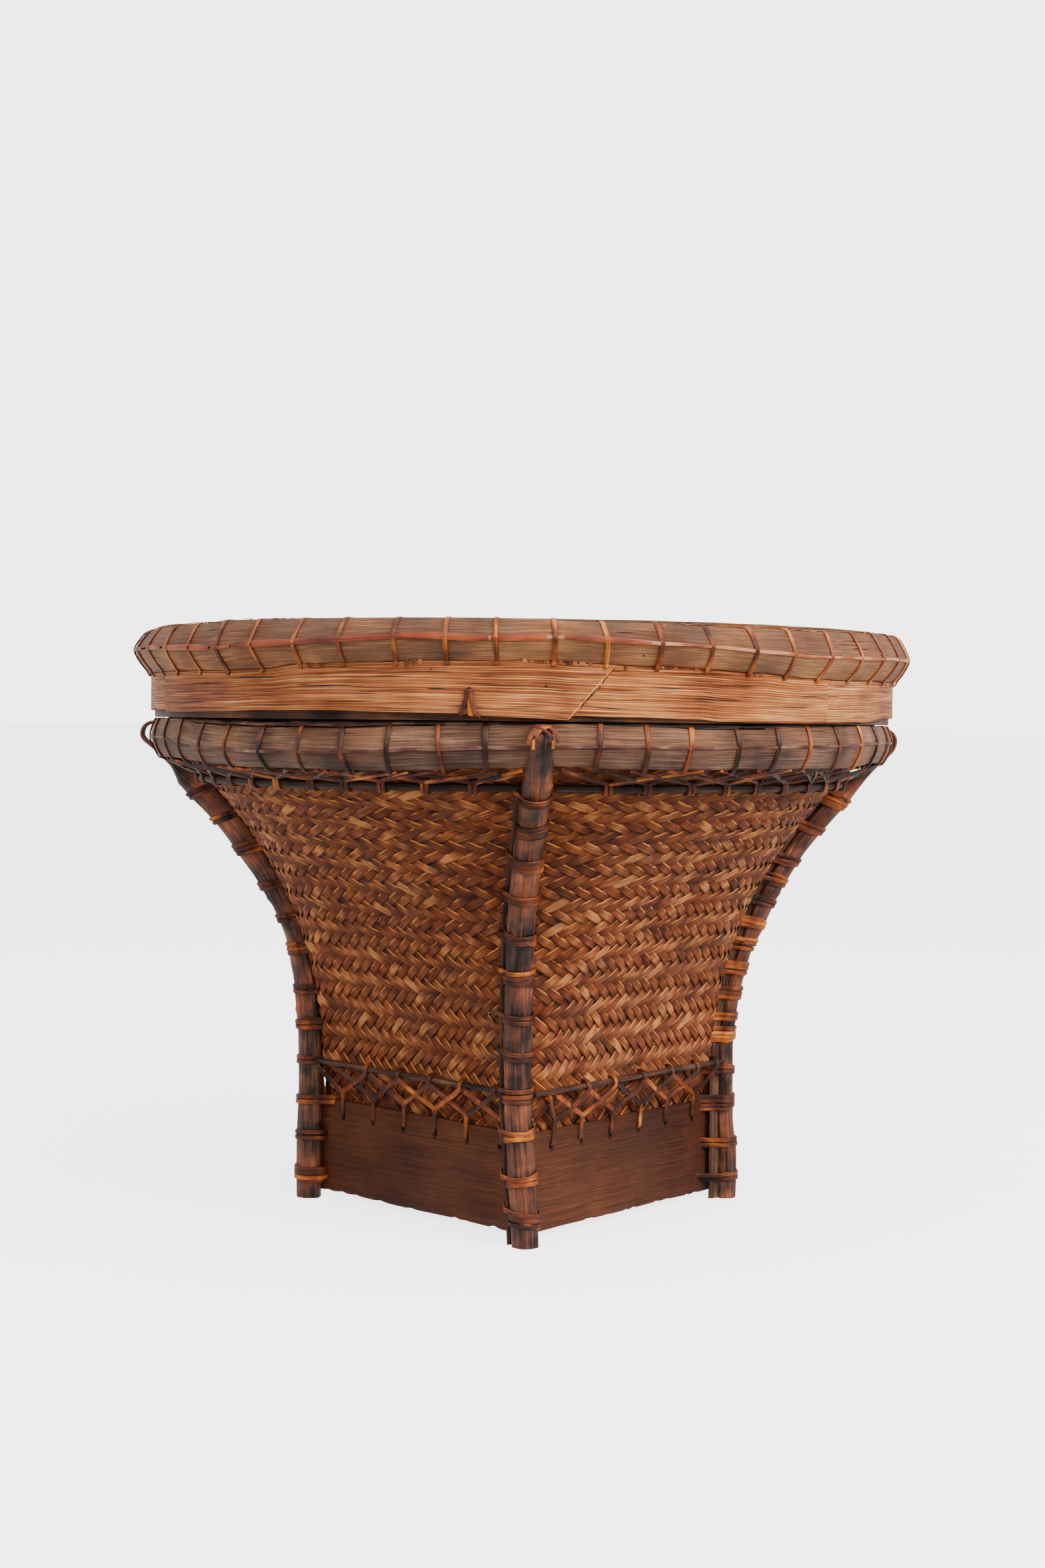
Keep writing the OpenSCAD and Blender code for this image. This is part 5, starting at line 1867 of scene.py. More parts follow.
@dataclass
class BasketRim:
    """The basket's rim: two strips, a ridge cane, lashings, inner hoop, cap and laced rails.

    Attributes:
        lash_w, lash_t: Width and thickness of the lashing cane.
        lash_count: Lashings from one leg to the next.
        lash_step: Degrees from one lashing to the next.
        rail_r: Radius of the stick under the rim.
        lace_w, lace_t: Width and thickness of the cane that laces it.
        seed: Fixed seed of what is uneven.
    """

    lash_w: float = 2.5
    lash_t: float = 1.1
    lash_count: int = 12
    lash_step: float = 6.89
    rail_r: float = 2.0
    lace_w: float = 2.2
    lace_t: float = 1.0
    seed: int = 41

    def __post_init__(self) -> None:
        """Takes the rim's levels from the CAD."""
        self.rim = RidgedRim(
            inner_r=FORM.mouth_r + GAP, base=low("rim_lower_strip", 2),
            top=high("rim_upper_strip", 2), lip=1.4, belly=6.1, top_lip=2.9, seed=23,
            ridge_wave=((-116, 1.6), (-108, -1.9), (-100, -3.2), (-85, -4.4), (-70, -3.6),
                        (-60, -1.8), (-51, -0.7), (-43, 0.0), (-13, 0.4), (5, 1.4),
                        (18, 2.6), (60, 0.8), (110, -1.0), (160, 0.5), (210, 1.4)),
            base_wave=((-116, 2.6), (-106, 2.1), (-97, 0.4), (-90, -0.4), (-68, -0.7),
                       (-61, 0.1), (-54, 1.3), (-43, 2.6), (-34, 1.5), (8, 1.5), (19, 3.6),
                       (60, 1.5), (110, 0.0), (160, 1.0), (210, 2.0)),
            top_wave=((-116, 0.0), (-107, 0.0), (-102, -2.6), (-95, -3.6), (-87, -4.0),
                      (-74, -4.0), (-62, -2.6), (-56, -1.9), (-47, -1.3), (-43, -0.6),
                      (-34, -1.4), (-20, -2.6), (-12, -2.7), (-6, -1.2), (13, 0.0),
                      (60, -0.8), (100, -1.5), (150, -0.5), (200, -1.2)))
        self.rail_ring = high("upper_rail_right", 0) - self.rail_r

    def lashings(self) -> Piece:
        """Returns the rim's lashings."""
        rng = np.random.default_rng(self.seed)
        canes = Strands(self.lash_w, self.lash_t, BINDING, squareness=0.6, spread=0.12,
                        seed=3)
        rim, clear = self.rim, 45 - (self.lash_count - 1) / 2 * self.lash_step
        for degrees in lashing_places(self.seed, clear, self.lash_count):
            a = np.radians(degrees)
            top, base = float(rim.top_at(a)), float(rim.base_at(a))
            rise = min(top + 0.8, rim.top - 0.5)
            inside = [(rim.inner_r - 0.9, top - 1.6), (rim.inner_r - 0.1, rise - 0.3),
                      (rim.inner_r + 1.2, rise),
                      (rim.inner_r + rim.top_lip * 0.9, rise - 0.5)]
            below = [(rim.inner_r + rim.lip * 0.7, base - 0.9),
                     (rim.inner_r - 2.4, base - 1.8)]
            line, facing = rim.lashing_path(degrees, False, self.lash_t, inside, below,
                                            rng.normal(0, 0.45))
            tone = float(np.clip(rng.normal(0.46, 0.16), 0.2, 0.8))
            # Painted highlight and shade: each lashing is lighter at its top, where it faces up,
            # and darker down the rim's face.
            canes.lay(line, facing, tone=np.linspace(tone + 0.14, tone - 0.16, len(line)),
                      girth=np.interp(np.linspace(0, 1, len(line)), [0, 0.35, 0.5, 1],
                                      [1.15, 1.1, 0.95, 0.9]))
        return canes.sweep("rim_canes")

    def rail(self, side: Side) -> Piece:
        """Returns the dark bent stick under the rim on one side."""
        half = math.asin(min(high("upper_rail_right", 1) / self.rail_ring, 0.99)) - 0.006
        angle = np.linspace(-half, half, 120)
        theta = full_turn(12)
        swell = 1 + ripple(angle * 4, side.seed(420), 2, 14, 0.06)
        bow = ripple(angle * 4, side.seed(430), 1, 4, 0.2)
        r = self.rail_ring + self.rail_r * swell[:, None] * np.cos(theta)
        z = FORM.high_rail_z + bow[:, None] + self.rail_r * swell[:, None] * np.sin(theta)
        return loft(f"upper_stick_{side.label}",
                    turned(polar(r, angle[:, None], z), side.value), tone=0.4)

    def lacing(self) -> Piece:
        """Returns the crossed canes between the upper sticks and the rim."""
        rng = np.random.default_rng(self.seed + 2)
        canes = Strands(self.lace_w, self.lace_t, BINDING, squareness=0.6, spread=0.12,
                        seed=5)
        rim, ring, z0, pitch = self.rim, self.rail_ring, FORM.high_rail_z, self.lash_step
        face = ring + self.rail_r + 0.6
        spaces = self.lash_count - 1
        for leg in Corner:
            for k in range(spaces):
                at = leg.value + 45 + pitch * (k - spaces // 2) + rng.uniform(-0.5, 0.5)
                base = float(rim.base_at(np.radians(at)))
                look = outward(np.radians(at))
                for turn in range(2):
                    wrap = at + (turn - 0.5) * 0.75
                    line = through_polar([
                        (ring - 2.4, wrap, z0 - 2.6), (ring + 0.4, wrap, z0 - 3.0),
                        (face - 0.6, wrap, z0 - 2.2), (face, wrap, z0),
                        (face + 0.2, wrap, z0 + 2.4), (ring + 2.0, wrap + 0.2, z0 + 4.4)], 3)
                    facing = through([look + rise * UP for rise in (
                        -2.0, -1.4, -0.4, 0.0, 0.3, 0.9)], 3)
                    canes.lay(line, unit(facing), tone=pick(rng, (0.3, 0.45, 0.6)))
                for turn, way in enumerate((-1, 1, -1, 1, rng.choice((-1, 1)))):
                    span = way * pitch * rng.uniform(0.9, 2.0)
                    end = float(np.clip(at + span, leg.value + 2.6, leg.value + 87.4))
                    wrap = at + rng.uniform(-0.6, 0.6)
                    over = 0.5 * (turn - 2) * 0.6
                    share = np.linspace(0, 1, 9)
                    angle = np.radians(wrap + (end - wrap) * share)
                    far = face + 0.4 + over + (rim.inner_r - face) * share
                    z = z0 + 2.4 + (base - 0.6 - z0 - 2.4) * share + 0.5 * np.sin(
                        share * math.pi) * rng.uniform(-1, 1)
                    canes.lay(polar(far, angle, z), look * 0.9 - 0.5 * UP,
                              tone=pick(rng, (0.2, 0.32, 0.42, 0.7), (0.3, 0.35, 0.25, 0.1)),
                              girth=rng.uniform(0.6, 1.05))
        return canes.sweep("upper_canes")

    def cap(self) -> Piece:
        """Returns the round cane laid on the edge of the weave."""
        node, theta = "rim_cap_cane", full_turn(10)
        size = (high(node, 2) - low(node, 2)) / 2
        r = high(node, 0) - size + size * np.cos(theta)
        rings = polar(r, full_turn(360)[:, None], middle_of(node, 2) + size * np.sin(theta))
        return loft("edge_cane", rings, closed=True, tone=0.4)

    def edge_canes(self) -> Piece:
        """Returns the rough canes that lie along the top edge between the lashings."""
        rng = np.random.default_rng(self.seed + 4)
        canes = Strands(2.4, 1.5, STICK, squareness=0.7, spread=0.25, seed=11)
        rim, at = self.rim, 0.0
        while at < 360:
            length = rng.uniform(16, 40)
            angle = np.radians(np.arange(at, at + length, 1.0))
            weave = 0.5 * np.sin(angle * 52 + rng.uniform(0, 6)) + ripple(
                angle, int(rng.integers(9999)), 9, 60, 0.25)
            r = rim.inner_r + rng.uniform(0.5, 1.9) + 0.6 * weave
            z = rim.top_at(angle) + 0.6 + 0.5 * weave
            z = np.minimum(z + rng.uniform(0, 0.6) * (rim.top - z), rim.top - 1.2)
            canes.lay(polar(r, angle, z), polar(0.6, angle, 1.0),
                      tone=pick(rng, (0.3, 0.5, 0.75)))
            at += length * rng.uniform(0.25, 0.5)
        return canes.sweep("edge_canes")

    def build(self) -> None:
        """Builds and dresses the rim."""
        rim = self.rim
        for piece, finish, *nodes in (
                # The lower strip is a darker shade than the upper: partly their own colour,
                # partly painted shade on the lower strip, which faces down.
                (rim.strip("rim_strip_lower", False, 0.47), RIM, "rim_lower_strip"),
                (rim.strip("rim_strip_upper", True, 0.61), RIM, "rim_upper_strip"),
                (rim.ridge_cane("rim_ridge", WORN_RIDGE, 1.5, 0.8, [(0, 361, 1.0, 0.42)]),
                 WORN_RIDGE, "rim_ridge_cane"),
                (self.edge_canes(), STICK),
                (self.lashings(), BINDING, "rim_lashings"),
                (hoop("inner_collar", "rim_inner_hoop", 61, 0.12), RIM, "rim_inner_hoop"),
                (self.cap(), BINDING, "rim_cap_cane"),
                (self.lacing(), BINDING, "upper_lacing")):
            place(piece, Body.BASKET, finish, *nodes)
        for side in Side:
            place(self.rail(side), Body.BASKET, STICK, f"upper_rail_{side.label}")


# ---- Lid ----


@dataclass
class Lid:
    """The lid: inner hoop, plain lapped band, ridged rim and a woven top.

    Attributes:
        band_t: Thickness of the band.
        lap_t: Thickness of the band's overlapping end.
        lap_end: Where the overlapping end stops at its top edge, in degrees.
        lap_angle: Degrees that the overlapping end covers.
        lap_slope: Degrees by which its bottom edge stops short.
        turn_wave: (degrees, rise) keys of the band's lower edge.
        lap_wave: The same for the overlapping end.
        tie_at: Where the cane tie hangs, in degrees.
        knot_at: Where the loose knot lies, in degrees.
        over_at: Degrees at which a lashing passes over the ridge cane.
        lash_w, lash_t: Width and thickness of the lashing cane.
        lash_count: Lashings around the rim.
        panel_pitch: Distance between the strips of the woven top.
        panel_rise: How much higher the top is in its middle.
        panel_t: Thickness of the woven top.
        float_rows: Strips that a strip of the top passes over before it goes under.
        seed: Fixed seed of what is uneven.
    """

    band_t: float = 2.0
    lap_t: float = 1.2
    lap_end: float = -35.3
    lap_angle: float = 76.0
    lap_slope: float = 6.4
    turn_wave: Keys = (
        (-119, 1.4), (-85, 1.8), (-60, 1.6), (-50, 0.8), (-40, 0.3), (-35, -0.2),
        (-24, -0.8), (-20, -1.8), (-7, -2.0), (10, -1.3), (23, 1.3), (60, 0.5), (110, 0.0),
        (160, 0.6), (210, 0.8))
    lap_wave: Keys = (
        (-120, 0.8), (-105, 0.2), (-95, 0.7), (-85, 1.4), (-74, 1.7), (-65, 1.2),
        (-56, 0.8), (-53, -0.3), (-47, -1.0), (-41, -1.9))
    tie_at: float = -54.6
    knot_at: float = -29.9
    over_at: tuple[float, ...] = (-99.0, -85.3, -50.7, -43.7, 60.0, 150.0)
    lash_w: float = 2.5
    lash_t: float = 1.0
    lash_count: int = 52
    panel_pitch: float = 5.0
    panel_rise: float = 4.5
    panel_t: float = 2.0
    float_rows: int = 3
    seed: int = 81

    def __post_init__(self) -> None:
        """Takes the lid's levels from the CAD."""
        self.base = low("lid_band", 2)
        self.hoop_out = high("lid_inner_hoop", 0)
        self.band_in = self.hoop_out + GAP
        self.band_out = self.band_in + self.band_t
        self.rim = RidgedRim(
            inner_r=self.band_in, base=low("lid_lower_strip", 2),
            top=high("lid_upper_strip", 2), lip=3.0, belly=10.7, top_lip=3.9,
            unevenness=0.9, seed=27,
            ridge_wave=((-116, -0.6), (-103, -1.4), (-93, -2.2), (-87, -1.3), (-80, 0.0),
                        (-72, 1.4), (-64, 2.8), (-51, 2.1), (-40, 2.6), (-36, 1.6),
                        (-29, 0.2), (-22, -0.7), (-13, -2.4), (-7, -3.4), (10, -3.2),
                        (16, -2.4), (60, -0.5), (100, 0.8), (150, -1.0), (200, 0.5)),
            base_wave=((-123, -0.9), (-110, -1.5), (-91, -1.5), (-85, -0.9), (-79, 1.3),
                       (-67, 2.4), (-60, 3.0), (-47, 3.4), (-39, 2.6), (-30, 1.6),
                       (-23, 1.0), (-14, -0.5), (-7, -2.0), (4, -2.8), (16, -2.3),
                       (60, -1.0), (110, 0.5), (160, -1.0), (200, 0.0)),
            top_wave=((-122, -2.2), (-110, -1.9), (-97, -1.3), (-91, 0.0), (-79, 0.3),
                      (-57, 0.3), (-47, -0.4), (-39, -1.4), (-31, -1.6), (-21, -2.6),
                      (-8, -2.3), (4, -2.0), (15, -1.0), (60, -0.5), (110, -1.5),
                      (160, -0.8), (205, -1.6)))
        self.panel_z = high("lid_inner_hoop", 2) + GAP

    def on_lap(self, degrees: float, short: float = 0.0) -> bool:
        """Says whether the overlapping end covers a place, short of its tip by some degrees."""
        return self.lap_end - self.lap_angle < degrees < self.lap_end - short

    def lap_foot(self, angle: Points) -> Points:
        """Returns the height of the overlapping end's lower edge."""
        return self.base + keyed(np.degrees(angle), self.lap_wave)

    def band(self) -> Piece:
        """Returns the band: a full turn, and the end that laps over it."""
        angle = full_turn(480)
        outer, soft = self.band_out, 0.25
        head = self.rim.base_at(angle) - 0.2
        foot = self.base + keyed(np.degrees(angle), self.turn_wave, 360.0) + np.abs(
            ripple(angle, 91, 9, 60, 0.12))
        bow = ripple(angle, 92, 3, 20, 0.15)
        rows = [(outer, foot + soft), (outer + bow, foot * 0.6 + head * 0.4),
                (outer + bow, foot * 0.25 + head * 0.75), (outer, head - soft),
                (outer - soft, head), (self.band_in, head), (self.band_in, foot),
                (outer - soft, foot)]
        full = loft("band_turn", np.stack([polar(r, angle, z) for r, z in rows], 1),
                    closed=True, tone=0.55)
        start = math.radians(self.lap_end - self.lap_angle)
        share = np.linspace(0, 1, 260)
        heights = np.linspace(0, 1, 12)
        lap_out = outer + self.lap_t
        rows = []
        for bulging, edge in ((True, heights), (False, heights[::-1])):
            for h in edge:
                ragged = 0.35 * math.sin(23 * h) * math.sin(61 * h + 1) + 0.18 * math.sin(
                    150 * h)
                stop = math.radians(self.lap_end + ragged - self.lap_slope * (1 - h))
                a = start + (stop - start) * share
                head, foot = self.rim.base_at(a) - 0.15, self.lap_foot(a)
                thin = smooth((1 - share) * 40) * 0.55 + 0.45
                proud = (lap_out + 0.2 * math.sin(math.pi * h) - outer) * thin
                rows.append(polar(outer + (proud if bulging else -GAP), a,
                                  foot + (head - foot) * h))
        lap = loft("band_lap", np.stack(rows, 1), tone=0.55)
        # A thin pale strand along the lapped end's cut edge: partly the paler cut face, partly a
        # painted highlight where the edge faces the light.
        cut = Strands(0.5, 0.5, BAND, sides=5, spread=0.0)
        h = np.linspace(0.02, 0.98, 24)
        a = np.radians(self.lap_end - self.lap_slope * (1 - h) - 0.12)
        foot = self.lap_foot(a)
        cut.lay(polar(lap_out - 0.55, a, foot + (self.rim.base_at(a) - foot) * h), outward(a),
                tone=0.8 + 0.3 * ripple(h * 5, 96, 3, 20, 0.5))
        return join("bent_band", [full, lap, cut.sweep("band_cut")])

    def splits(self) -> Piece:
        """Returns the dark splits and small holes in the band and the rim."""
        slits = Strands(0.5, 0.4, STICK, sides=5, spread=0.3, seed=14)
        # (from, to, height above the band's foot) of each split, in degrees and millimetres
        runs = ((-60.5, -57.4, 12.6), (-104, -93, 15.0), (-101, -86, 9.5), (-92, -82, 18.0),
                (-80, -70, 14.0), (-76, -68, 6.0), (-69, -62, 18.5), (-57, -50, 15.5),
                (-50, -44, 4.5), (-31, -24, 14.0), (-27, -17, 9.0), (-21, -14, 16.0),
                (-12, -2, 6.0), (-8, 4, 12.0), (60, 75, 9.0), (120, 132, 14.0),
                (180, 196, 8.0))
        for first, last, rise in runs:
            angle = np.radians(np.linspace(first, last, 14))
            proud = self.lap_t + 0.12 if self.on_lap((first + last) / 2, 4.0) else 0.05
            z = self.base + rise + ripple(angle * 6, int(rise * 9), 1, 6, 0.2)
            slits.lay(polar(self.band_out + proud, angle, z), outward(angle), tone=0.1,
                      girth=tapered(14))
        for at, rise, size in ((-44.6, 14.5, 1.8), (-59.6, 22.0, 1.4)):
            angle = np.radians(at + np.array([-0.16, 0.0, 0.16]) * size / 2)
            slits.lay(polar(self.band_out + self.lap_t + 0.15, angle, self.base + rise),
                      outward(angle), tone=0.0, girth=size)
        for first, last, share in ((0, 5.5, 0.5), (1.5, 7.5, 0.66), (3, 8, 0.36),
                                   (-96, -91, 0.7), (-36, -33.4, 0.45)):
            angle = np.radians(np.linspace(first, last, 12))
            r, z = self.rim.outline(angle, share)
            slits.lay(polar(r + 0.05, angle, z), outward(angle, 0.5), tone=0.05,
                      girth=0.8 * tapered(12))
        return slits.sweep("lid_splits")

    def fibres(self) -> Piece:
        """Returns the loose fibres along the rim's top edge."""
        rng = np.random.default_rng(self.seed + 7)
        hairs = Strands(0.6, 0.4, BAND, sides=4, spread=0.3, seed=15)
        places = np.concatenate([rng.uniform(-125, -80, 34), rng.uniform(-35, 25, 38),
                                 rng.uniform(25, 235, 40)])
        share = np.linspace(0, 1, 6)
        for at in places:
            angle = np.radians(at + np.linspace(0, rng.uniform(1.2, 3.4), 6)
                               * rng.choice((-1, 1)))
            r = self.rim.inner_r + self.rim.top_lip - rng.uniform(0.2, 2.4) + 0.8 * share
            z = self.rim.top_at(angle) + 0.15 + rng.uniform(0.2, 1.3) * share ** 2
            hairs.lay(polar(r, angle, np.minimum(z, self.rim.top + 0.1)),
                      np.array([0.1, 0.1, 1.0]), tone=float(rng.uniform(0.4, 1.0)),
                      girth=np.linspace(1.0, 0.4, 6))
        return hairs.sweep("edge_fibres")

    def lashings(self) -> Piece:
        """Returns the lid rim's lashings."""
        rng = np.random.default_rng(self.seed)
        canes = Strands(self.lash_w, self.lash_t, BINDING, squareness=0.6, spread=0.12,
                        seed=4)
        rim, face, step = self.rim, self.band_out, 360 / self.lash_count
        for k in range(self.lash_count):
            degrees = (self.knot_at + k * step + 180 + rng.uniform(-0.4, 0.4)) % 360 - 180
            top, base = (float(f(np.radians(degrees))) for f in (rim.top_at, rim.base_at))
            inside = [(self.hoop_out - 4.4, top - 4.0), (self.hoop_out - 3.6, top - 0.2),
                      (self.hoop_out - 1.6, top + 0.4), (rim.inner_r + 1.6, top + 0.45)]
            out = 2.0 if self.on_lap(degrees) else 0.6
            below = [(rim.inner_r + rim.lip + 0.6, base - 0.7),
                     (face + out, base - 1.7), (face - 1.0, base - 2.6)]
            over = min(abs(degrees - at) for at in self.over_at) < 0.5 * step
            line, facing = rim.lashing_path(degrees, over, self.lash_t, inside, below,
                                            rng.normal(0, 0.5))
            line[:, 2] = np.minimum(line[:, 2], rim.top - 0.2)
            tone = float(np.clip(rng.normal(0.62, 0.1), 0.3, 0.9))
            canes.lay(line, facing, tone=np.linspace(tone - 0.04, tone + 0.02, len(line)))
        return canes.sweep("lid_canes")

    def strip_ends(self) -> Piece:
        """Returns the chopped ends of the woven top that show under the rim."""
        rng = np.random.default_rng(self.seed + 3)
        ends = Strands(3.2, 0.6, BAND, spread=0.2, sides=6, seed=8)
        # (from, to, length) of each run of ends, in degrees and millimetres
        runs = ((-79, -74.6, 0.9), (-63, -61, 1.6), (-47.5, -38.6, 0.62), (-34, -33.4, 2.6),
                (-29, -26.7, 0.7), (-24, -21.5, 0.7), (-15.5, -13, 1.2), (60, 68, 0.8),
                (118, 124, 0.7), (170, 186, 0.8), (205, 208, 0.9))
        for first, last, length in runs:
            for degrees in np.arange(first, last, 0.95):
                a = math.radians(degrees + rng.uniform(-0.1, 0.1))
                base = float(self.rim.base_at(np.float64(a)))
                r = self.band_out + (self.lap_t + 0.25 if self.on_lap(degrees) else 0.15)
                drop = length * rng.uniform(0.7, 1.5)
                line = polar(np.array([r - 0.2, r, r + 0.1]), a,
                             np.array([base + 0.8, base - 0.1, base - drop - 0.4]))
                ends.lay(line, outward(a), tone=float(rng.uniform(0.15, 0.65)),
                         girth=rng.uniform(0.5, 0.95))
        return ends.sweep("strip_ends")

    def top(self) -> list[Piece]:
        """Returns the woven top: two families of strips in nested squares of twill."""
        rng = np.random.default_rng(self.seed + 5)
        outer, step = self.hoop_out - 0.8, self.panel_pitch
        count = int(outer / step)
        pieces = []
        for family in (0, 1):
            strands = Strands(step * 1.01, 0.65, WEAVE, relief=0.62, spread=0.02,
                              seed=12 + family)
            for i in range(-count, count + 1):
                c = i * step
                reach = math.sqrt(max(outer ** 2 - c ** 2, 0))
                k = np.arange(-math.floor(reach / step), math.floor(reach / step) + 1)
                if len(k) < 3:
                    continue
                over = ((np.abs(k) + abs(i)) % (2 * self.float_rows) < self.float_rows) == (
                    family == 0)
                lift = eased(np.where(over, 1.0, -1.0), (0.25, 0.5, 0.25))
                t = k * step
                rise = self.panel_rise * (1 - (t ** 2 + c ** 2) / outer ** 2)
                z = self.panel_z + self.panel_t / 2 + rise
                strands.lay(diagonal(t, c, family, z), UP, lift=lift,
                            tone=float(np.clip(rng.normal(0.5, 0.1), 0.2, 0.85)))
            pieces.append(strands.sweep(f"woven_top_{'ab'[family]}"))
        return pieces

    def tie(self) -> Piece:
        """Returns the cane tie that hangs from the band's lower edge."""
        canes = Strands(2.4, 0.9, BINDING, squareness=0.6, spread=0.05, seed=2)
        face, z, at = self.band_out + self.lap_t + 0.6, self.base, self.tie_at
        a = math.radians(at)
        for head, foot, tone, stand in ((-0.28, -1.0, 0.42, 0.5), (0.3, 0.85, 0.5, 0.6),
                                        (0.02, 0.25, 0.85, 0.1)):
            canes.lay(through_polar([
                (face - 1.9, at + head * 0.5, z + 11.8),
                (face + 0.3 + stand, at + head * 0.7, z + 12.6),
                (face + stand, at + head, z + 9.6),
                (face + stand, at + (head + foot) / 2, z + 4.6),
                (face + stand * 0.6, at + foot, z + 0.2),
                (face - 1.6, at + foot, z - 0.4)], 4), outward(a), tone=tone)
        canes.lay(through_polar([
            (face + 0.4, at + 0.8, z + 1.4), (face + 0.9, at + 1.25, z + 0.5),
            (face + 0.2, at + 1.6, z - 0.6)], 4), outward(a, 0.4), tone=0.35, girth=0.8)
        return canes.sweep("band_tie")

    def knot(self) -> Piece:
        """Returns the loose knot on top of the rim."""
        canes = Strands(2.4, 1.1, BINDING, squareness=0.75, spread=0.05, seed=6)
        rim, a0 = self.rim, self.knot_at
        top = float(rim.top_at(np.float64(math.radians(a0)))) - 1.2
        t = np.linspace(0, TURN * 1.1, 26)
        for shift, size, tone in ((0.0, 1.9, 0.5), (0.55, 1.6, 0.7)):
            r = rim.inner_r + rim.top_lip + 0.9 + size * 0.6 * np.cos(t)
            z = top - 1.2 + size * np.sin(t) * 0.8
            angle = np.radians(a0 + shift + 0.4 * np.sin(t * 0.5) + 0.15 * t / TURN)
            canes.lay(polar(r, angle, z), polar(np.cos(t), math.radians(a0), np.sin(t)),
                      tone=tone)
        for way, drop in ((-1, 0.6), (1, 1.4)):
            canes.lay(through_polar([
                (rim.inner_r + 4.0, a0 + way * 0.2, top - 0.3),
                (rim.inner_r + 4.6, a0 + way * 0.9, top - 0.2 - drop * 0.4),
                (rim.inner_r + 4.7, a0 + way * 1.6, top - 0.6 - drop)], 5),
                np.array([0.5, -0.5, 0.8]), tone=0.55, girth=0.75)
        return canes.sweep("lid_loose_knot")

    def build(self) -> None:
        """Builds and dresses the lid."""
        rim = self.rim
        # The lid's inner hoop takes the darker rim finish at a low shade: partly its own dark
        # colour, partly painted shade of the gap under the band.
        place(hoop("lid_hoop", "lid_inner_hoop", 95, 0.3), Body.LID, RIM, "lid_inner_hoop",
              slot=Slot.LID)
        # (from, to, girth, shade) of the ridge cane's runs, in degrees; the thin runs at shades
        # 1.0 and 0.95 are a painted highlight along the ridge
        spans = [(-128, -117, 0.6, 0.5), (-114, -107.5, 0.7, 0.5), (-107, -94, 1.0, 0.55),
                 (-93.4, -89.6, 0.6, 0.75), (-89, -52, 1.0, 0.5), (-53.5, -42, 0.55, 1.0),
                 (-51.7, -44.5, 1.0, 0.66), (-42.5, -31.6, 0.9, 0.6), (-33, 30, 0.5, 0.95),
                 (34, 66, 0.9, 0.5), (70, 140, 1.0, 0.55), (150, 228, 0.9, 0.5)]
        for piece, finish, *nodes in (
                (self.band(), BAND, "lid_band"),
                # The lower strip, which faces down, is a lighter shade than the upper: painted
                # light from below, as from the pale floor.
                (rim.strip("lid_ring_lower", False, 0.74), LID_RING, "lid_lower_strip"),
                (rim.strip("lid_ring_upper", True, 0.5), LID_RING, "lid_upper_strip"),
                (hoop("lid_rim_hoop", "lid_top_hoop", 97, 0.45), LID_RING, "lid_top_hoop"),
                (rim.ridge_cane("lid_ridge", RIDGE, 3.3, 0.9, spans), RIDGE,
                 "lid_ridge_cane"),
                (self.lashings(), BINDING, "lid_lashings"),
                (self.strip_ends(), BAND),
                (self.fibres(), BAND),
                (self.splits(), STICK)):
            place(piece, Body.LID, finish, *nodes)
        first, second = self.top()
        for piece, finish, *nodes in (
                (first, WEAVE, "lid_woven_panel"), (second, WEAVE),
                (self.tie(), BINDING, "lid_band_tie"), (self.knot(), BINDING, "lid_knot")):
            place(piece, Body.LID, finish, *nodes)


# ---- Camera, light and floor ----


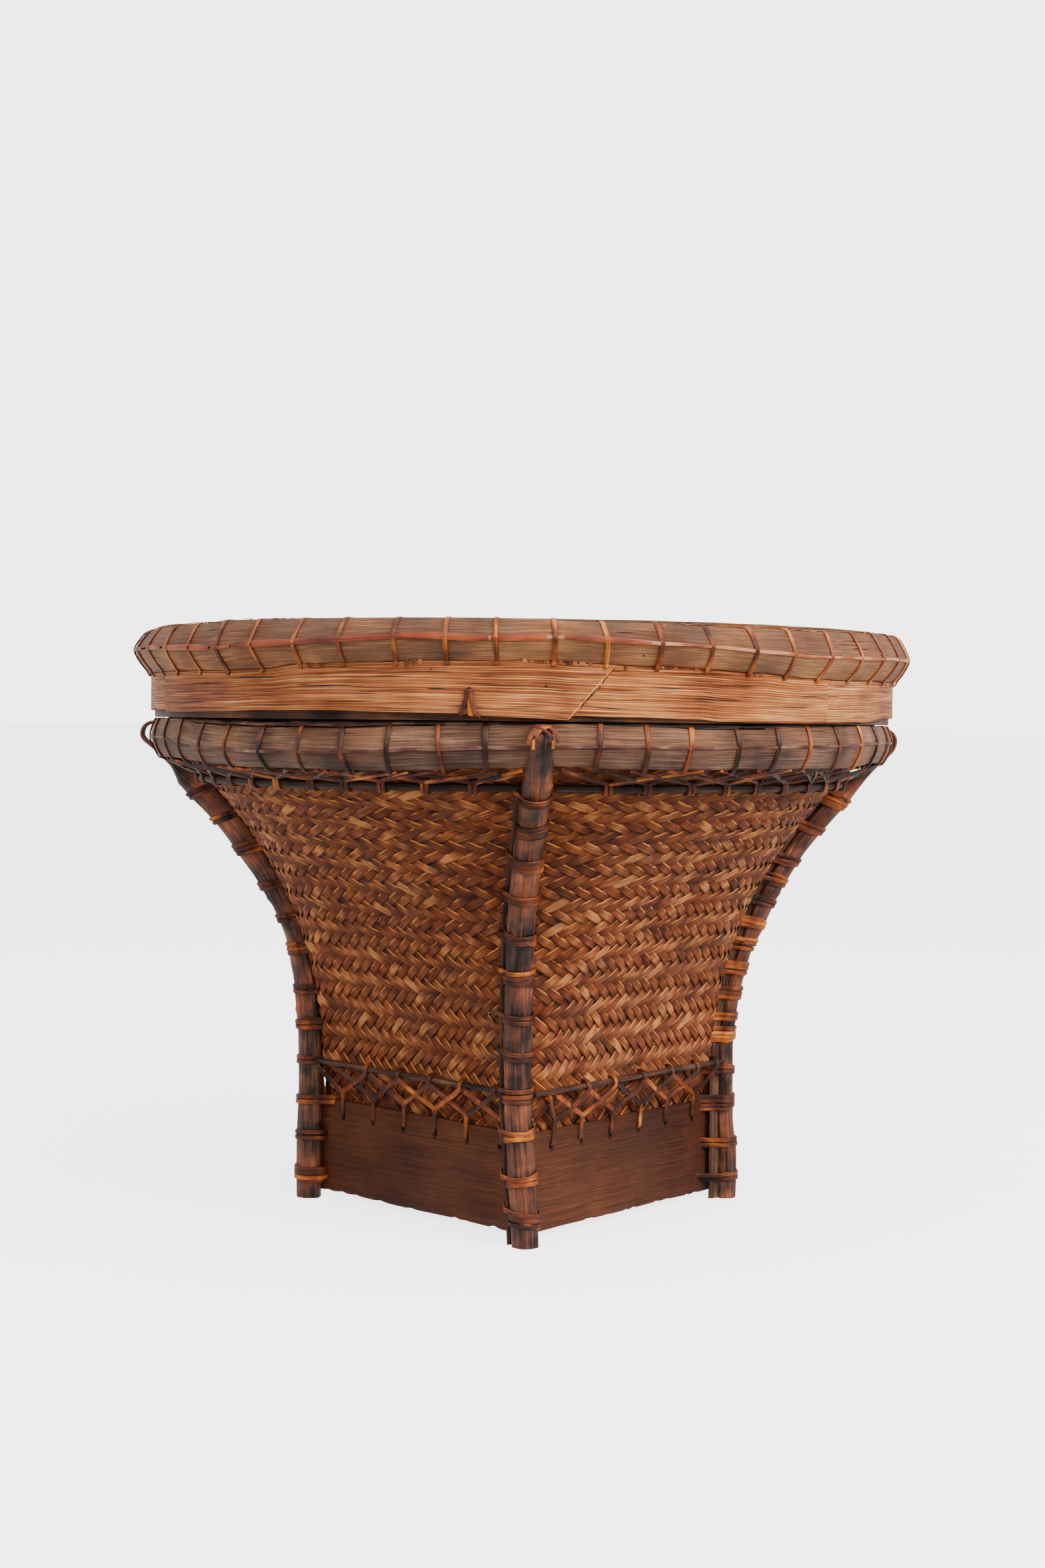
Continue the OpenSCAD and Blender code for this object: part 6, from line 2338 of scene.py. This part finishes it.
@dataclass
class Studio:
    """The camera, a pale sweep and soft light.

    Attributes:
        distance: Distance of the camera from the object's middle, in millimetres.
        azimuth: Direction of the camera, in degrees from the front towards the right.
        height: Height of the camera.
        pitch: How far it looks down, in degrees.
        yaw: How far it looks to the side of the middle, in degrees.
        roll: Its roll, in degrees.
        lens: Focal length on a 36 mm sensor.
        room_light: Brightness of the room's light on the object.
        room_seen: Brightness of the room where it shows behind the object.
        floor_half, floor_z: Half the floor's width and its height, in metres.
    """

    distance: float = 1246.9
    azimuth: float = 42.27
    height: float = 276.6
    pitch: float = 1.685
    yaw: float = -0.042
    roll: float = 0.665
    lens: float = 49.44
    room_light: float = 0.85
    room_seen: float = 4.2
    floor_half: float = 60.0
    floor_z: float = -0.0002

    def camera(self) -> None:
        """Adds the camera."""
        data = bpy.data.cameras.new("camera")
        data.lens, data.sensor_width = self.lens, 36.0
        camera = add_object("camera", data)
        az = math.radians(self.azimuth)
        camera.matrix_world = (
            Matrix.Translation((self.distance * MM * math.sin(az),
                                -self.distance * MM * math.cos(az), self.height * MM))
            @ Matrix.Rotation(math.radians(self.azimuth + self.yaw), 4, "Z")
            @ Matrix.Rotation(math.radians(90 - self.pitch), 4, "X")
            @ Matrix.Rotation(math.radians(self.roll), 4, "Z"))
        bpy.context.scene.camera = camera

    def floor(self) -> None:
        """Adds a pale floor that glows a little, as a lit white sweep does."""
        mesh = bpy.data.meshes.new("pale_floor")
        mesh.from_pydata([(x * self.floor_half, y * self.floor_half, self.floor_z)
                          for x, y in ((-1, -1), (1, -1), (1, 1), (-1, 1))], [],
                         [(0, 1, 2, 3)])
        floor = add_object("pale_floor", mesh)
        material = bpy.data.materials.new("matt_paper_sweep")
        material.use_nodes = True
        shader = material.node_tree.nodes["Principled BSDF"]
        for name, value in (("Base Color", hex_linear("#f0f0f0")), ("Roughness", 0.9),
                            ("Specular IOR Level", 0.1), ("Emission Strength", 3.0),
                            ("Emission Color", (1.0, 1.0, 1.0, 1.0))):
            shader.inputs[name].default_value = value
        floor.data.materials.append(material)
        floor.visible_diffuse = floor.visible_glossy = False

    def light(self) -> None:
        """Adds a pale room and soft light from the right, the left and above."""
        world = bpy.data.worlds.new("soft_room")
        world.use_nodes = True
        tree = world.node_tree
        tree.nodes.clear()
        seen = add_node(tree, "ShaderNodeLightPath").outputs["Is Camera Ray"]
        shades = [add_node(tree, "ShaderNodeBackground", None, {
            "Color": hex_linear("#ffffff"), "Strength": strength}).outputs[0]
            for strength in (self.room_light, self.room_seen)]
        mixed = add_node(tree, "ShaderNodeMixShader", None,
                         {0: seen, 1: shades[0], 2: shades[1]})
        add_node(tree, "ShaderNodeOutputWorld", None, {"Surface": mixed.outputs[0]})
        bpy.context.scene.world = world
        az = math.radians(self.azimuth)
        # Degrees to the side and up, distance and size in metres, watts
        for label, turn, lift, far, size, power in (
                ("key_window", 48.0, 32.0, 1.7, 0.9, 38.0),
                ("fill_window", -60.0, 30.0, 2.0, 1.4, 14.0),
                ("top_window", 10.0, 78.0, 1.8, 1.6, 22.0)):
            data = bpy.data.lights.new(label, "AREA")
            data.size, data.energy = size, power
            lamp = add_object(label, data)
            a, e = az + math.radians(turn), math.radians(lift)
            spot = np.array([math.sin(a) * math.cos(e), -math.cos(a) * math.cos(e),
                             math.sin(e)]) * far
            lamp.matrix_world = (
                Matrix.Translation(spot + np.array([0, 0, 0.15]))
                @ Matrix.Rotation(a, 4, "Z") @ Matrix.Rotation(math.pi / 2 - e, 4, "X"))

    def build(self) -> None:
        """Sets the whole studio."""
        self.camera()
        self.floor()
        self.light()


def main() -> None:
    """Builds the pieces in order."""
    logging.basicConfig(level=logging.INFO, format="%(message)s")
    Studio().build()
    WovenBody().build()
    Foot().build()
    CornerLegs().build()
    BasketRim().build()
    Lid().build()


if __name__ == "__main__":
    main()
